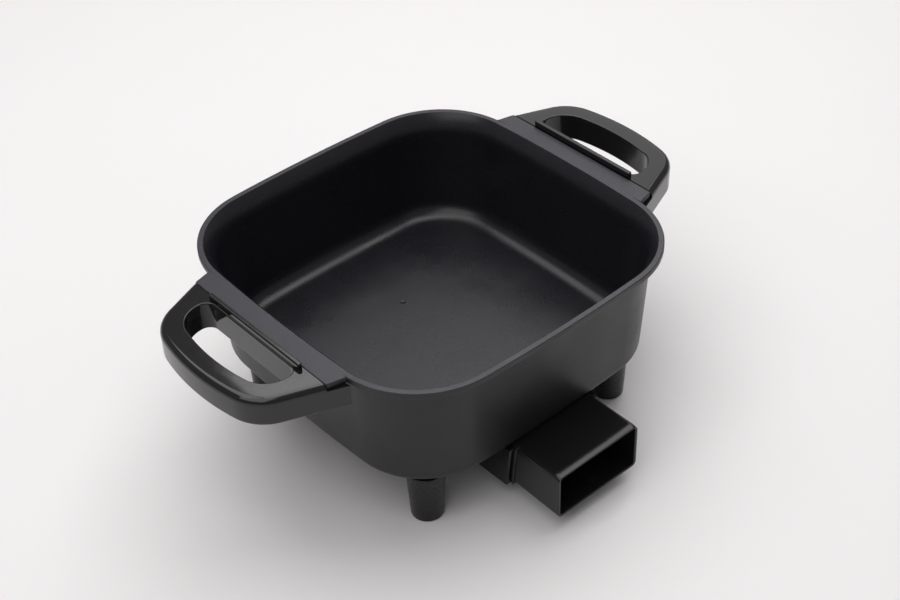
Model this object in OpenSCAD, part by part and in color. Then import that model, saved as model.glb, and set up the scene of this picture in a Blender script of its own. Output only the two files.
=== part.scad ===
// Electric skillet: a deep, round-cornered square pan on four post legs, with two loop handles and a
// guarded socket for a plug-in temperature control. Millimetres, +Z up, the table top at z = 0. The
// origin is the middle of the footprint; the socket opens towards -Y and the handles point along X.

/* [Pan] */
// Width across the middles of two opposite rims
rim_w = 280; // [260:1:320]
// Corner radius of the rim, seen from above
rim_corner_r = 69.5; // [60:0.5:80]
// Corner radius of the wall just above the heel
heel_corner_r = 59; // [50:1:68]
// Radius of the gentle outward bow of each side
side_bow_r = 1460; // [900:10:3000]
// Height from the underside to the top of the rim
pan_h = 95; // [70:1:110]
// Height of the underside above the table
underside_z = 49; // [46:1:70]
// Width of the flat top of the rim
rim_flat = 4.2; // [3:0.1:6]
// Radius of the rounding along the rim's outer edges
rim_edge_r = 0.9; // [0.3:0.1:1.5]
// Height of the lip's outer face
lip_h = 5; // [4:0.1:8]
// Distance that the lip stands out past the wall
lip_out = 8.8; // [6:0.1:11]
// Height of the cove under the lip
cove_h = 6; // [4:0.5:10]
// Height of the flare from the inner wall to the rim
flare_h = 18; // [10:0.5:24]
// Distance that the wall leans in on its way down
wall_lean = 4.3; // [1:0.1:10]
// Thickness of the wall
wall_t = 3.3; // [2.6:0.1:5]
// Thickness of the floor
floor_t = 5; // [4:0.1:7]
// Radius of the heel, where the wall turns under
heel_r = 8; // [5:0.5:12]
// Radius of the fillet around the cooking floor
floor_fillet_r = 10; // [6:0.5:18]

/* [Ledges] */
// Distance that each ledge reaches past the rim
ledge_w = 12; // [10:0.5:16]
// Thickness of a ledge
ledge_t = 5; // [4:0.1:7]
// Length of a ledge along its outer edge
ledge_l = 146; // [132:1:150]
// Distance that a ledge's ends splay out towards the rim
ledge_splay = 3.5; // [0:0.1:5]

/* [Handles] */
// Distance that a handle reaches past the rim
handle_out = 65.8; // [55:0.1:80]
// Radius of a handle's bowed outer edge
handle_bow_r = 187; // [150:1:400]
// Radius of a handle's outer corners
handle_corner_r = 33.4; // [24:0.1:36]
// Distance between the centres of a handle's outer corners
handle_corner_span = 64; // [56:0.2:76]
// Distance that an arm stands past the end of the ledge
arm_out = 1.7; // [0:0.1:3]
// Height of a handle
handle_h = 22; // [20:0.5:30]
// Width of the bar that the hand closes on
grip_w = 16.5; // [12:0.5:20]
// Length of the finger opening
finger_l = 100; // [85:1:104]
// Radius of the finger opening's corners beside the ledge
finger_in_r = 7.5; // [4:0.5:12]
// Radius of the finger opening's outer corners
finger_out_r = 21; // [16:0.5:25]
// Width of the bar between the ledge and the finger opening
inner_bar_w = 4.8; // [4.4:0.1:8]
// Radius of the rounding along a handle's upper edge
handle_top_r = 5.1; // [2:0.1:6]
// Radius of the rounding along a handle's lower edge
handle_bottom_r = 2.3; // [1:0.1:4]
// Radius of the rounding around the finger opening
finger_edge_r = 1; // [0.5:0.1:1.4]
// Height of the rib that stands on the inner bar
rib_h = 4.6; // [2:0.1:6]
// Length of that rib
rib_l = 101; // [70:1:110]
// Distance from a ledge's end to its handle screw
handle_screw_inset = 13; // [10:0.5:16]

/* [Legs] */
// Distance of a leg's middle inside the foot of the side walls
leg_side_inset = 35.9; // [32:0.1:42]
// Distance of a leg's middle inside the foot of the front and rear walls
leg_end_inset = 32.9; // [30:0.1:42]
// Radius of a leg at its top
leg_top_r = 14.2; // [12:0.1:16]
// Radius of a leg at its foot
leg_foot_r = 12; // [10.8:0.1:14]
// Radius of the rounding around a foot
foot_edge_r = 1.4; // [1:0.1:4]
// Gap between a leg's top and the pan
leg_gap = 6; // [1:0.1:7]
// Thickness of the leg that its screw clamps against the pan
leg_web = 14; // [8:0.5:20]

/* [Probe guard] */
// Distance that the guard's mouth stands out past the rim
guard_out = 32; // [24:1:45]
// Width of the socket tube
tube_w = 77.6; // [72:0.1:84]
// Height of the socket tube
tube_h = 39; // [34:0.5:42]
// Distance that the tube's top stands above the pan's underside
tube_rise = 2.9; // [1:0.1:6]
// Wall thickness of the guard
guard_t = 2.2; // [1.8:0.1:3]
// Outer corner radius of the tube
tube_corner_r = 4.1; // [3:0.1:6]
// Rise of the tube's floor between its mouth and the base block
tube_floor_rise = 1.7; // [0:0.1:2.4]
// Distance that the base block stands out past each side of the tube
base_step = 3.7; // [3.4:0.1:7]
// Length of the base block at its foot
base_l = 36.5; // [34:0.5:37]
// Forward lean of the base block's front, in degrees
base_lean = 6; // [0:0.5:8]
// Thickness of the partition behind the socket
partition_t = 2.5; // [1.5:0.1:4]

/* [Heating and sensing] */
// Distance between the two terminal pins
pin_pitch = 38; // [35:0.5:41]
// Radius of a terminal pin
pin_r = 2.5; // [2.2:0.1:3]
// Radius of the stem behind a terminal pin
pin_stem_r = 2; // [1.6:0.1:2.2]
// Depth of the pin tips behind the mouth
pin_recess = 20; // [12:1:30]
// Radius of the heating element's sheath
sheath_r = 4; // [3.6:0.1:4.5]
// Depth of the element's axis below the pan
element_drop = 10; // [8:0.5:12]
// Distance of the element's loop inside the foot of the wall
loop_inset = 47; // [44:1:52]
// Corner radius of the element's loop
loop_corner_r = 36; // [24:1:38]
// Radius of the bends that lead from the loop to the terminals
entry_r = 20; // [16:0.5:21]
// Inner radius of the sensor sleeve
sleeve_bore_r = 3.4; // [2.8:0.1:3.6]
// Wall thickness of the sensor sleeve
sleeve_t = 1.1; // [0.8:0.1:1.3]
// Length of the sensor sleeve
sleeve_l = 68; // [50:1:80]

/* [Fasteners] */
// Shank radius of the handle screws
handle_screw_r = 2.5; // [2:0.1:3]
// Shank radius of the leg screws
leg_screw_r = 2.5; // [2:0.1:2.7]
// Shank radius of the guard screws
guard_screw_r = 2; // [1.5:0.1:2.5]
// Radius of the washers in the legs
washer_r = 5.2; // [5:0.1:6]
// Thickness of those washers
washer_t = 1; // [0.6:0.1:2]

/* [Hidden] */
$fn = 64;

// Colours
coat_colour = [0.23, 0.23, 0.24];
phenolic_colour = [0.07, 0.07, 0.07];
steel_colour = [0.72, 0.72, 0.74];
sheath_colour = [0.42, 0.42, 0.44];
ceramic_colour = [0.92, 0.90, 0.84];

// Clearances
seat_gap = 0.3;      // between a piece and a wall that it stands beside
mate_gap = 0.5;      // between a handle and the pan's curved wall
slip_gap = 0.3;      // radial, a screw or boss passing through a moulding
thread_gap = 0.1;    // radial, a screw in its tapped hole
metal_gap = 0.1;     // radial, a pin's stem in the sheath or its insulator
cast_gap = 0.05;     // radial, a metal insert in the casting
tip_gap = 0.8;       // between a screw's tip and the end of its hole
hole_skin = 2.2;     // metal left between a tapped hole and the face above it
over = 1;            // overshoot of a cut past a face

// Pan levels and the half width at the foot of its wall
rim_z = underside_z + pan_h;
lip_z = rim_z - lip_h;
cove_z = lip_z - cove_h;
floor_z = underside_z + floor_t;
tap_top_z = floor_z - hole_skin;
rim_half = rim_w / 2;
wall_foot = rim_half - lip_out - wall_lean;

// The pan stands behind the middle of the footprint, because the guard reaches out in front
pan_y = guard_out / 2;

module at_pan() {
  translate([0, pan_y, 0]) children();
}

// Copies on both sides of the pan, or in its four corners
module on_both_sides(x, y = 0) {
  for (side = [-1, 1]) translate([side * x, y, 0]) children();
}

module on_four_corners(x, y) {
  for (end = [-1, 1]) on_both_sides(x, end * y) children();
}

// ---- Outlines and lofts --------------------------------------------------------------------

quarter = 90;           // degrees in a quarter turn

function arc(centre, r, from, to, steps) =
  [for (i = [0 : steps]) let (a = from + (to - from) * i / steps) centre + r * [cos(a), sin(a)]];

function without_first(points) = [for (i = [1 : len(points) - 1]) points[i]];

function without_last(points) = [for (i = [0 : len(points) - 2]) points[i]];

function turned(points, a) =
  [for (p = points) [p.x * cos(a) - p.y * sin(a), p.x * sin(a) + p.y * cos(a)]];

// The lower half of an outline that is the same about the X axis, from its upper half
function mirrored_half(upper) = [for (i = [len(upper) - 1 : -1 : 0]) [upper[i].x, -upper[i].y]];

function at_height(points, z) = [for (p = points) [p.x, p.y, z]];

function mixed(a, b, share) = a + (b - a) * share;

// Solid through rings of equal length, listed from the lowest to the highest
module loft(rings) {
  n = len(rings[0]);
  top = (len(rings) - 1) * n;
  sides = [for (i = [0 : len(rings) - 2], j = [0 : n - 1])
             let (a = i * n + j, b = i * n + (j + 1) % n)
             each [[a, a + n, b], [b, a + n, b + n]]];
  polyhedron(points = [for (r = rings) each r],
             faces = concat(sides, [[for (j = [0 : n - 1]) j]],
                            [[for (j = [n - 1 : -1 : 0]) top + j]]));
}

// Bowed, round-cornered square at a distance inside the rim. Each side is an arc and meets the corner
// arcs in tangents: corner_mid is the centre of a corner arc, meet the angle at which the two touch.
side_steps = 6;
corner_steps = 12;

function corner_mid(half, bow, corner) =
  (half - bow + sqrt(2 * pow(bow - corner, 2) - pow(bow - half, 2))) / 2;

function pan_outline(inset, corner) =
  let (half = rim_half - inset, bow = side_bow_r - inset,
       k = corner_mid(half, bow, corner), meet = atan2(k, k + bow - half),
       side = without_last(arc([half - bow, 0], bow, -meet, meet, side_steps)),
       bend = without_last(arc([k, k], corner, meet, quarter - meet, corner_steps)))
  [for (q = [0 : 3]) each turned(concat(side, bend), quarter * q)];

function pan_ring(z, inset, corner) = at_height(pan_outline(inset, corner), z);

// ---- Pan -----------------------------------------------------------------------------------

// Distance of the outer wall inside the rim, and its corner radius, at a height below the cove
wall_h = cove_z - underside_z;
lean_angle = atan(wall_lean / wall_h);
function wall_inset(z) = mixed(lip_out + wall_lean, lip_out, (z - underside_z) / wall_h);
function wall_corner(z) = mixed(heel_corner_r, rim_corner_r - lip_out, (z - underside_z) / wall_h);

// Quarter turn between a flat underside or floor at height z and the wall above it, for the outer
// skin (depth 0) or a skin at some depth inside it
turn_steps = 5;
function turn_rings(z, r, depth) =
  let (mid_z = z + r, mid_inset = wall_inset(mid_z) + depth + r / cos(lean_angle),
       corner = wall_corner(mid_z) - depth)
  [for (i = [0 : turn_steps])
     let (t = (quarter - lean_angle) * i / turn_steps, pull = r * (1 / cos(lean_angle) - sin(t)))
     pan_ring(mid_z - r * cos(t), mid_inset - r * sin(t), corner - pull)];

// Distance of the outer skin inside the rim at a height in the heel
function heel_inset(z) =
  let (mid_z = underside_z + heel_r, drop = max(0, min(heel_r, mid_z - z)))
  wall_inset(mid_z) + heel_r / cos(lean_angle) - sqrt(pow(heel_r, 2) - pow(drop, 2));

edge_steps = 3;
cove_steps = 4;
flare_steps = 6;

// Outer skin of the pan, moved out sideways by grow
module pan_skin(grow = 0) {
  cove = [for (i = [0 : cove_steps])
            let (t = quarter * i / cove_steps, inset = mixed(rim_edge_r, lip_out, cos(t)) - grow)
            pan_ring(cove_z + cove_h * sin(t), inset, rim_corner_r - inset)];
  lip = [for (i = [1 : edge_steps])
           let (t = quarter * i / edge_steps, inset = rim_edge_r * (1 - sin(t)) - grow)
           pan_ring(lip_z + rim_edge_r * (1 - cos(t)), inset, rim_corner_r - inset)];
  crown = [for (i = [0 : edge_steps])
             let (t = quarter * i / edge_steps, inset = rim_edge_r * (1 - cos(t)) - grow)
             pan_ring(rim_z - rim_edge_r * (1 - sin(t)), inset, rim_corner_r - inset)];
  loft(concat(turn_rings(underside_z, heel_r, -grow), cove, lip, crown));
}

// Space inside the pan
module pan_hollow() {
  inner_inset = wall_inset(cove_z) + wall_t;
  flare = [for (i = [0 : flare_steps])
             let (u = i / flare_steps, inset = mixed(inner_inset, rim_flat, u * u))
             pan_ring(mixed(rim_z - flare_h, rim_z, u), inset, rim_corner_r - inset)];
  above = pan_ring(rim_z + over, rim_flat, rim_corner_r - rim_flat);
  loft(concat(turn_rings(floor_z, floor_fillet_r, wall_t), flare, [above]));
}

// A ledge runs from under the rim's flat to the handle
ledge_x = rim_half + ledge_w;
ledge_z = rim_z - ledge_t;
module ledge() {
  root_x = rim_half - rim_flat / 2;
  root_l = ledge_l + 2 * ledge_splay;
  translate([0, 0, ledge_z])
    linear_extrude(ledge_t)
      polygon([[root_x, -root_l / 2], [ledge_x, -ledge_l / 2],
               [ledge_x, ledge_l / 2], [root_x, root_l / 2]]);
}

// Handle bosses hang from the ledges, leg and guard bosses from the underside
boss_wall = 2.5;
leg_boss_wall = 3.5;
handle_boss_h = 8;
leg_boss_h = 9;
guard_boss_h = 7;
handle_boss_r = handle_screw_r + boss_wall;
handle_boss_z = ledge_z - handle_boss_h;
handle_screw_x = rim_half + ledge_w / 2;
handle_screw_y = ledge_l / 2 - handle_screw_inset;
leg_boss_r = leg_screw_r + leg_boss_wall;
leg_boss_z = underside_z - leg_boss_h;
leg_x = wall_foot - leg_side_inset;
leg_y = wall_foot - leg_end_inset;
guard_boss_r = guard_screw_r + boss_wall;
guard_boss_z = underside_z - guard_boss_h;

// The foot of the guard's base stands a little inside the foot of the pan's wall
base_setback = 2.4;
socket_depth = 9;       // from the foot of the base to the partition
post_gap = 2;           // from the partition, and from the side wall, to a screw post
post_wall = 3;
guard_post_r = guard_screw_r + post_wall;
guard_reach = rim_half + guard_out;
base_w = tube_w + 2 * base_step;
base_front_y = base_setback - wall_foot;
base_back_y = base_front_y + base_l;
partition_front_y = base_front_y + socket_depth;
partition_y = partition_front_y + partition_t;
guard_screw_x = base_w / 2 - guard_t - post_gap - guard_post_r;
guard_screw_y = partition_y + post_gap + guard_post_r;

module boss(r, from_z, to_z) {
  translate([0, 0, from_z]) cylinder(r = r, h = to_z + over - from_z);
}

module bosses() {
  on_four_corners(handle_screw_x, handle_screw_y) boss(handle_boss_r, handle_boss_z, ledge_z);
  on_four_corners(leg_x, leg_y) boss(leg_boss_r, leg_boss_z, underside_z);
  on_both_sides(guard_screw_x, guard_screw_y) boss(guard_boss_r, guard_boss_z, underside_z);
}

module tapped_hole(screw_r, from_z, to_z) {
  translate([0, 0, from_z - over]) cylinder(r = screw_r + thread_gap, h = to_z + over - from_z);
}

module tapped_holes() {
  on_four_corners(handle_screw_x, handle_screw_y)
    tapped_hole(handle_screw_r, handle_boss_z, rim_z - hole_skin);
  on_four_corners(leg_x, leg_y) tapped_hole(leg_screw_r, leg_boss_z, tap_top_z);
  on_both_sides(guard_screw_x, guard_screw_y) tapped_hole(guard_screw_r, guard_boss_z, tap_top_z);
}

// Element loop: from each terminal straight in, a quarter turn outwards and round a square
insulator_l = 4;
insulator_gap = 3;      // from the partition to an insulator
element_z = underside_z - element_drop;
shortest_run = 1;       // of the element, between two of its bends
entry_x = pin_pitch / 2;
loop_half = wall_foot - loop_inset;
loop_bend_r = min(loop_corner_r, loop_half - entry_x - entry_r - shortest_run);
loop_mid = loop_half - loop_bend_r;
entry_y = -loop_half - entry_r;
sheath_end_y = partition_y + insulator_gap + insulator_l;

// The left half of the loop. Bends: centre, radius, start angle. Straight runs: start, end.
left_bends = [[[-entry_x - entry_r, entry_y], entry_r, 0],
              [[-loop_mid, -loop_mid], loop_bend_r, 180],
              [[-loop_mid, loop_mid], loop_bend_r, 90]];
left_runs = [[[-entry_x - entry_r, -loop_half], [-loop_mid, -loop_half]],
             [[-loop_half, -loop_mid], [-loop_half, loop_mid]],
             [[-loop_mid, loop_half], [0, loop_half]]];

// Sweeps a section, drawn around the origin with its top towards +Y, along the loop
module along_loop() {
  for (side = [0, 1]) mirror([side, 0, 0]) {
    for (bend = left_bends)
      translate(bend[0]) rotate([0, 0, bend[2]])
        rotate_extrude(angle = 90) translate([bend[1], 0]) children();
    for (run = left_runs) {
      way = run[1] - run[0];
      translate(run[0]) rotate([0, 0, atan2(way.y, way.x)])
        rotate([90, 0, 90]) linear_extrude(norm(way)) children();
    }
  }
}

// Round ridge under the pan that the element is cast into
ridge_wall = 2.5;
module element_ridge() {
  ridge_r = sheath_r + ridge_wall;
  translate([0, 0, element_z]) along_loop() {
    circle(r = ridge_r);
    translate([-ridge_r, 0]) square([2 * ridge_r, element_drop + over]);
  }
}

module sheath_path(r) {
  joint = 0.01;
  translate([0, 0, element_z]) {
    along_loop() circle(r = r);
    on_both_sides(entry_x, entry_y + joint) rotate([90, 0, 0])
      cylinder(r = r, h = entry_y + joint - sheath_end_y);
  }
}

// Block that holds the sensor sleeve against the middle of the underside
sleeve_out = 2.5;       // from the partition to the sleeve's mouth
block_setback = 1;      // from the sheath's ends to the block
block_wall = 3.2;
sleeve_r = sleeve_bore_r + sleeve_t;
sleeve_front_y = partition_front_y - sleeve_out;
sleeve_back_y = sleeve_front_y + sleeve_l;
block_front_y = sheath_end_y + block_setback;

module sleeve_block() {
  block_r = sleeve_r + block_wall;
  length = sleeve_back_y + block_wall - block_front_y;
  translate([0, block_front_y, element_z]) {
    rotate([-90, 0, 0]) cylinder(r = block_r, h = length);
    translate([-block_r, 0, 0]) cube([2 * block_r, length, element_drop + over]);
  }
}

module sleeve_hole() {
  translate([0, block_front_y - over, element_z]) rotate([-90, 0, 0])
    cylinder(r = sleeve_r + cast_gap, h = sleeve_back_y - block_front_y + over);
}

module pan() {
  at_pan() color(coat_colour)
    difference() {
      union() {
        pan_skin();
        for (side = [0, 1]) mirror([side, 0, 0]) ledge();
        bosses();
        element_ridge();
        sleeve_block();
      }
      pan_hollow();
      sheath_path(sheath_r + cast_gap);
      sleeve_hole();
      tapped_holes();
    }
}

// ---- Heating and sensing -------------------------------------------------------------------

pin_seat = 12;          // length of a pin's stem inside the sheath
pin_shoulder = 1;       // from the partition to the shoulder of a pin
insulator_flange = 0.8; // radial, an insulator past the sheath

// Stands a drawing on a terminal's axis at y, with its +Z towards the mouth
module at_terminal(side, y) {
  translate([side * entry_x, y, element_z]) rotate([90, 0, 0]) children();
}

module heating_element() {
  at_pan() color(sheath_colour)
    difference() {
      sheath_path(sheath_r);
      for (side = [-1, 1])
        at_terminal(side, sheath_end_y + pin_seat)
          cylinder(r = pin_stem_r + metal_gap, h = pin_seat + over);
    }
}

// Pin with a round tip, on a thinner stem that runs back into the sheath
module terminal_pin(side) {
  shoulder_y = partition_front_y - pin_shoulder;
  stem_l = sheath_end_y + pin_seat - shoulder_y;
  pin_l = shoulder_y + guard_reach - pin_recess - pin_r;
  at_pan() color(steel_colour)
    at_terminal(side, sheath_end_y + pin_seat) {
      cylinder(r = pin_stem_r, h = stem_l);
      translate([0, 0, stem_l]) cylinder(r = pin_r, h = pin_l);
      translate([0, 0, stem_l + pin_l]) sphere(r = pin_r);
    }
}

module terminal_insulator(side) {
  at_pan() color(ceramic_colour)
    at_terminal(side, sheath_end_y)
      difference() {
        cylinder(r = sheath_r + insulator_flange, h = insulator_l);
        translate([0, 0, -over]) cylinder(r = pin_stem_r + metal_gap, h = insulator_l + 2 * over);
      }
}

// Tube closed at its inner end
module sensor_sleeve() {
  at_pan() color(steel_colour)
    translate([0, sleeve_front_y, element_z]) rotate([-90, 0, 0])
      difference() {
        cylinder(r = sleeve_r, h = sleeve_l);
        translate([0, 0, -over]) cylinder(r = sleeve_bore_r, h = sleeve_l - sleeve_t + over);
      }
}

// ---- Screws --------------------------------------------------------------------------------

// Size of a pan head for a shank's radius
function head_r(shank_r) = 1.85 * shank_r;
function head_h(shank_r) = 1.3 * shank_r;

// Screw with a cross recess, its seat at the origin and its shank towards +Z
module screw(shank_r, shank_l) {
  r = head_r(shank_r);
  h = head_h(shank_r);
  slot_w = 0.22 * r;
  slot_depth = 0.6 * h;
  color(steel_colour)
    difference() {
      union() {
        cylinder(r = shank_r, h = shank_l);
        rotate_extrude()
          polygon([[0, 0], [r, 0], [r, -0.45 * h], [0.86 * r, -0.8 * h], [0.6 * r, -h], [0, -h]]);
      }
      for (a = [0, 90])
        rotate([0, 0, a]) translate([-r / 2, -slot_w / 2, -h - over])
          cube([r, slot_w, slot_depth + over]);
    }
}

// Screw hole through a moulding, with a counterbore from below up to seat_z
module counterbored_hole(screw_r, head_r, seat_z, from_z, to_z) {
  translate([0, 0, from_z - over]) {
    cylinder(r = screw_r + slip_gap, h = to_z - from_z + 2 * over);
    cylinder(r = head_r + slip_gap, h = seat_z - from_z + over);
  }
}

// ---- Probe guard ---------------------------------------------------------------------------

guard_web = 5.5;        // moulding clamped under a boss by a guard screw
tube_top_z = underside_z + tube_rise;
guard_z = tube_top_z - tube_h;
guard_seat_z = guard_z + guard_web;
base_top_z = underside_z - seat_gap;
tube_back_y = heel_inset(tube_top_z) - seat_gap - rim_half;

// Height of the tube's floor at a station
function tube_floor(y) =
  guard_z + tube_floor_rise * (y + guard_reach) / (base_front_y + guard_reach);

// Round-cornered section of the tube at a station, shrunk on all sides
tube_steps = 6;
function tube_ring(y, top_z, shrink) =
  let (r = max(tube_corner_r - shrink, 1), side = tube_w / 2 - shrink - r,
       high = top_z - shrink - r, low = tube_floor(y) + shrink + r)
  at_height(concat(arc([side, high], r, 0, 90, tube_steps), arc([-side, high], r, 90, 180, tube_steps),
                   arc([-side, low], r, 180, 270, tube_steps), arc([side, low], r, 270, 360, tube_steps)),
            -y);

module tube() {
  rotate([90, 0, 0]) loft([tube_ring(tube_back_y, tube_top_z, 0), tube_ring(-guard_reach, tube_top_z, 0)]);
}

// Space in the tube, which is lower under the pan than in front of it
step_slope = 0.5;
module tube_hollow() {
  step_y = tube_back_y - guard_t;
  rotate([90, 0, 0])
    loft([tube_ring(partition_front_y, base_top_z, guard_t),
          tube_ring(step_y + step_slope, base_top_z, guard_t),
          tube_ring(step_y, tube_top_z, guard_t),
          tube_ring(-guard_reach - over, tube_top_z, guard_t)]);
}

// Slab across the tube, from foot_z up to the pan. Its front leans forward, and its back stands
// upright or leans with it. The stations are those at the foot of the base block.
function leaning(y, z) = y - (z - guard_z) * tan(base_lean);
module base_slab(w, foot_z, front_y, back_y, leaning_back) {
  back_top_y = leaning_back ? leaning(back_y, base_top_z) : back_y;
  back_foot_y = leaning_back ? leaning(back_y, foot_z) : back_y;
  rotate([90, 0, 90]) translate([0, 0, -w / 2]) linear_extrude(w)
    polygon([[leaning(front_y, foot_z), foot_z], [back_foot_y, foot_z],
             [back_top_y, base_top_z], [leaning(front_y, base_top_z), base_top_z]]);
}

// The base's front corner and a bead before it, with a groove between them
groove_w = 1.3;
bead_t = 1.7;
groove_out = 0.3;       // the groove's floor, past the side of the tube
bead_out = 1.1;         // the bead, past the side of the tube
module guard_shell() {
  groove_y = base_front_y - groove_w;
  foot_z = guard_z + tube_floor_rise - groove_out;
  tube();
  base_slab(base_w, guard_z, base_front_y, base_back_y, false);
  base_slab(tube_w + 2 * groove_out, foot_z, groove_y, base_back_y, false);
  base_slab(tube_w + 2 * bead_out, foot_z, groove_y - bead_t, groove_y, true);
}

module guard_cuts() {
  tube_hollow();
  // terminal chamber, open to the back and towards the pan
  translate([guard_t - base_w / 2, partition_y, guard_z + guard_t])
    cube([base_w - 2 * guard_t, base_l, tube_h + over]);
}

module probe_guard() {
  at_pan() color(phenolic_colour)
    difference() {
      union() {
        difference() {
          guard_shell();
          guard_cuts();
        }
        on_both_sides(guard_screw_x, guard_screw_y) translate([0, 0, guard_z])
          cylinder(r = guard_post_r, h = guard_boss_z - guard_z);
      }
      for (side = [-1, 1])
        at_terminal(side, partition_y + over)
          cylinder(r = pin_r + 2 * slip_gap, h = partition_t + 2 * over);
      at_terminal(0, partition_y + over) cylinder(r = sleeve_r + slip_gap, h = partition_t + 2 * over);
      on_both_sides(guard_screw_x, guard_screw_y)
        counterbored_hole(guard_screw_r, head_r(guard_screw_r), guard_seat_z, guard_z, guard_boss_z);
    }
}

module guard_screw(side) {
  at_pan() translate([side * guard_screw_x, guard_screw_y, guard_seat_z])
    screw(guard_screw_r, tap_top_z - tip_gap - guard_seat_z);
}

// ---- Handles -------------------------------------------------------------------------------

handle_web = 5;         // moulding clamped under a boss by a handle screw
handle_z = rim_z - handle_h;
handle_reach = rim_half + handle_out;
handle_seat_z = handle_boss_z - handle_web;
buried = 2;             // start of the handle inside the pan's wall, which trims it
root_x = wall_foot - buried;
bow_x = handle_reach - handle_bow_r;            // centre of the bowed edges
corner_y = handle_corner_span / 2;
corner_reach = handle_bow_r - handle_corner_r;
corner_turn = asin(corner_y / corner_reach);
corner_at = [bow_x + corner_reach * cos(corner_turn), corner_y];

// Each arm's outer side leaves the corner in a tangent and passes the end of the ledge
arm_way = [ledge_x, ledge_l / 2 + arm_out] - corner_at;
arm_turn = atan2(arm_way.y, arm_way.x) - acos(handle_corner_r / norm(arm_way));

finger_x = ledge_x + mate_gap + inner_bar_w;
finger_bow_r = handle_bow_r - grip_w;
finger_turn = asin((finger_l / 2 - finger_out_r) / (finger_bow_r - finger_out_r));
finger_out_at = [bow_x + (finger_bow_r - finger_out_r) * cos(finger_turn), finger_l / 2 - finger_out_r];
shortest_end = 0.5;     // of the opening's end, between its two corners
finger_bend_r = min(finger_in_r, finger_out_at.x - finger_x - shortest_end);
finger_in_at = [finger_x + finger_bend_r, finger_l / 2 - finger_bend_r];
curve_steps = 8;

// Outer edge of the right handle, moved in by inset
function handle_outline(inset) =
  let (normal = [cos(arm_turn), sin(arm_turn)], r = handle_corner_r - inset,
       root_y = (normal * corner_at + r - normal.x * root_x) / normal.y,
       upper = concat(arc([bow_x, 0], handle_bow_r - inset, 0, corner_turn, curve_steps),
                      without_first(arc(corner_at, r, corner_turn, arm_turn, curve_steps)),
                      [[root_x, root_y]]))
  concat(mirrored_half(upper), without_first(upper));

// Finger opening, moved out by grow
function finger_outline(grow) =
  let (upper = concat(arc([bow_x, 0], finger_bow_r + grow, 0, finger_turn, curve_steps),
                      without_first(arc(finger_out_at, finger_out_r + grow, finger_turn, 90, curve_steps)),
                      arc(finger_in_at, finger_bend_r + grow, 90, 180, curve_steps)))
  concat(mirrored_half(upper), without_first(upper));

round_steps = 4;
module handle_blank() {
  bottom = [for (i = [0 : round_steps])
              let (t = quarter * i / round_steps)
              at_height(handle_outline(handle_bottom_r * (1 - sin(t))),
                        handle_z + handle_bottom_r * (1 - cos(t)))];
  top = [for (i = [0 : round_steps])
           let (t = quarter * i / round_steps)
           at_height(handle_outline(handle_top_r * (1 - cos(t))), rim_z - handle_top_r * (1 - sin(t)))];
  loft(concat(bottom, top));
}

module finger_opening() {
  grow = [for (i = [0 : edge_steps]) finger_edge_r * (1 - sin(quarter * i / edge_steps))];
  rise = [for (i = [0 : edge_steps]) finger_edge_r * (1 - cos(quarter * i / edge_steps))];
  bottom = [for (i = [0 : edge_steps]) at_height(finger_outline(grow[i]), handle_z + rise[i])];
  top = [for (i = [edge_steps : -1 : 0]) at_height(finger_outline(grow[i]), rim_z - rise[i])];
  loft(concat([at_height(finger_outline(finger_edge_r), handle_z - over)], bottom, top,
              [at_height(finger_outline(finger_edge_r), rim_z + over)]));
}

// Rib with round ends on the inner bar
module handle_rib() {
  r = (inner_bar_w - finger_edge_r) / 2;
  sunk = finger_edge_r;
  translate([ledge_x + mate_gap + r, 0, rim_z - sunk])
    linear_extrude(rib_h + sunk) {
      square([2 * r, rib_l - 2 * r], center = true);
      for (end = [-1, 1]) translate([0, end * (rib_l / 2 - r)]) circle(r = r);
    }
}

module handle_bores() {
  for (end = [-1, 1]) translate([handle_screw_x, end * handle_screw_y, 0]) {
    counterbored_hole(handle_screw_r, head_r(handle_screw_r), handle_seat_z, handle_z, ledge_z);
    translate([0, 0, handle_boss_z - seat_gap])
      cylinder(r = handle_boss_r + slip_gap, h = ledge_z - handle_boss_z + over);
  }
}

module right_handle() {
  color(phenolic_colour) {
    difference() {
      handle_blank();
      finger_opening();
      handle_bores();
      // room for the lip, which the arms end against
      translate([0, 0, handle_z - over])
        linear_extrude(handle_h + 2 * over) polygon(pan_outline(-mate_gap, rim_corner_r + mate_gap));
      // room for the ledge, and for the rim beside it
      translate([0, -rim_half, ledge_z]) cube([ledge_x + mate_gap, rim_w, ledge_t + over]);
    }
    handle_rib();
  }
}

module handle(mirrored) {
  at_pan() mirror([mirrored, 0, 0]) right_handle();
}

module handle_screw(x, y) {
  at_pan() translate([x * handle_screw_x, y * handle_screw_y, handle_seat_z])
    screw(handle_screw_r, rim_z - hole_skin - tip_gap - handle_seat_z);
}

// ---- Legs ----------------------------------------------------------------------------------

leg_edge = 1;           // bevel around a leg's top
leg_seat_z = leg_boss_z - leg_web;
leg_head_z = leg_seat_z - washer_t;

module at_leg(x, y) {
  at_pan() translate([x * leg_x, y * leg_y, 0]) children();
}

// Tapered post with a rounded foot, over a boss that centres it
module leg(x, y) {
  top_z = underside_z - leg_gap;
  foot = arc([leg_foot_r - foot_edge_r, foot_edge_r], foot_edge_r, -90, 0, curve_steps);
  at_leg(x, y) color(phenolic_colour)
    difference() {
      rotate_extrude()
        polygon(concat([[0, 0]], foot, [[leg_top_r, top_z - leg_edge],
                                        [leg_top_r - leg_edge, top_z], [0, top_z]]));
      counterbored_hole(leg_screw_r, washer_r, leg_seat_z, 0, top_z);
      translate([0, 0, leg_boss_z]) cylinder(r = leg_boss_r + slip_gap, h = top_z + over - leg_boss_z);
    }
}

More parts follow.
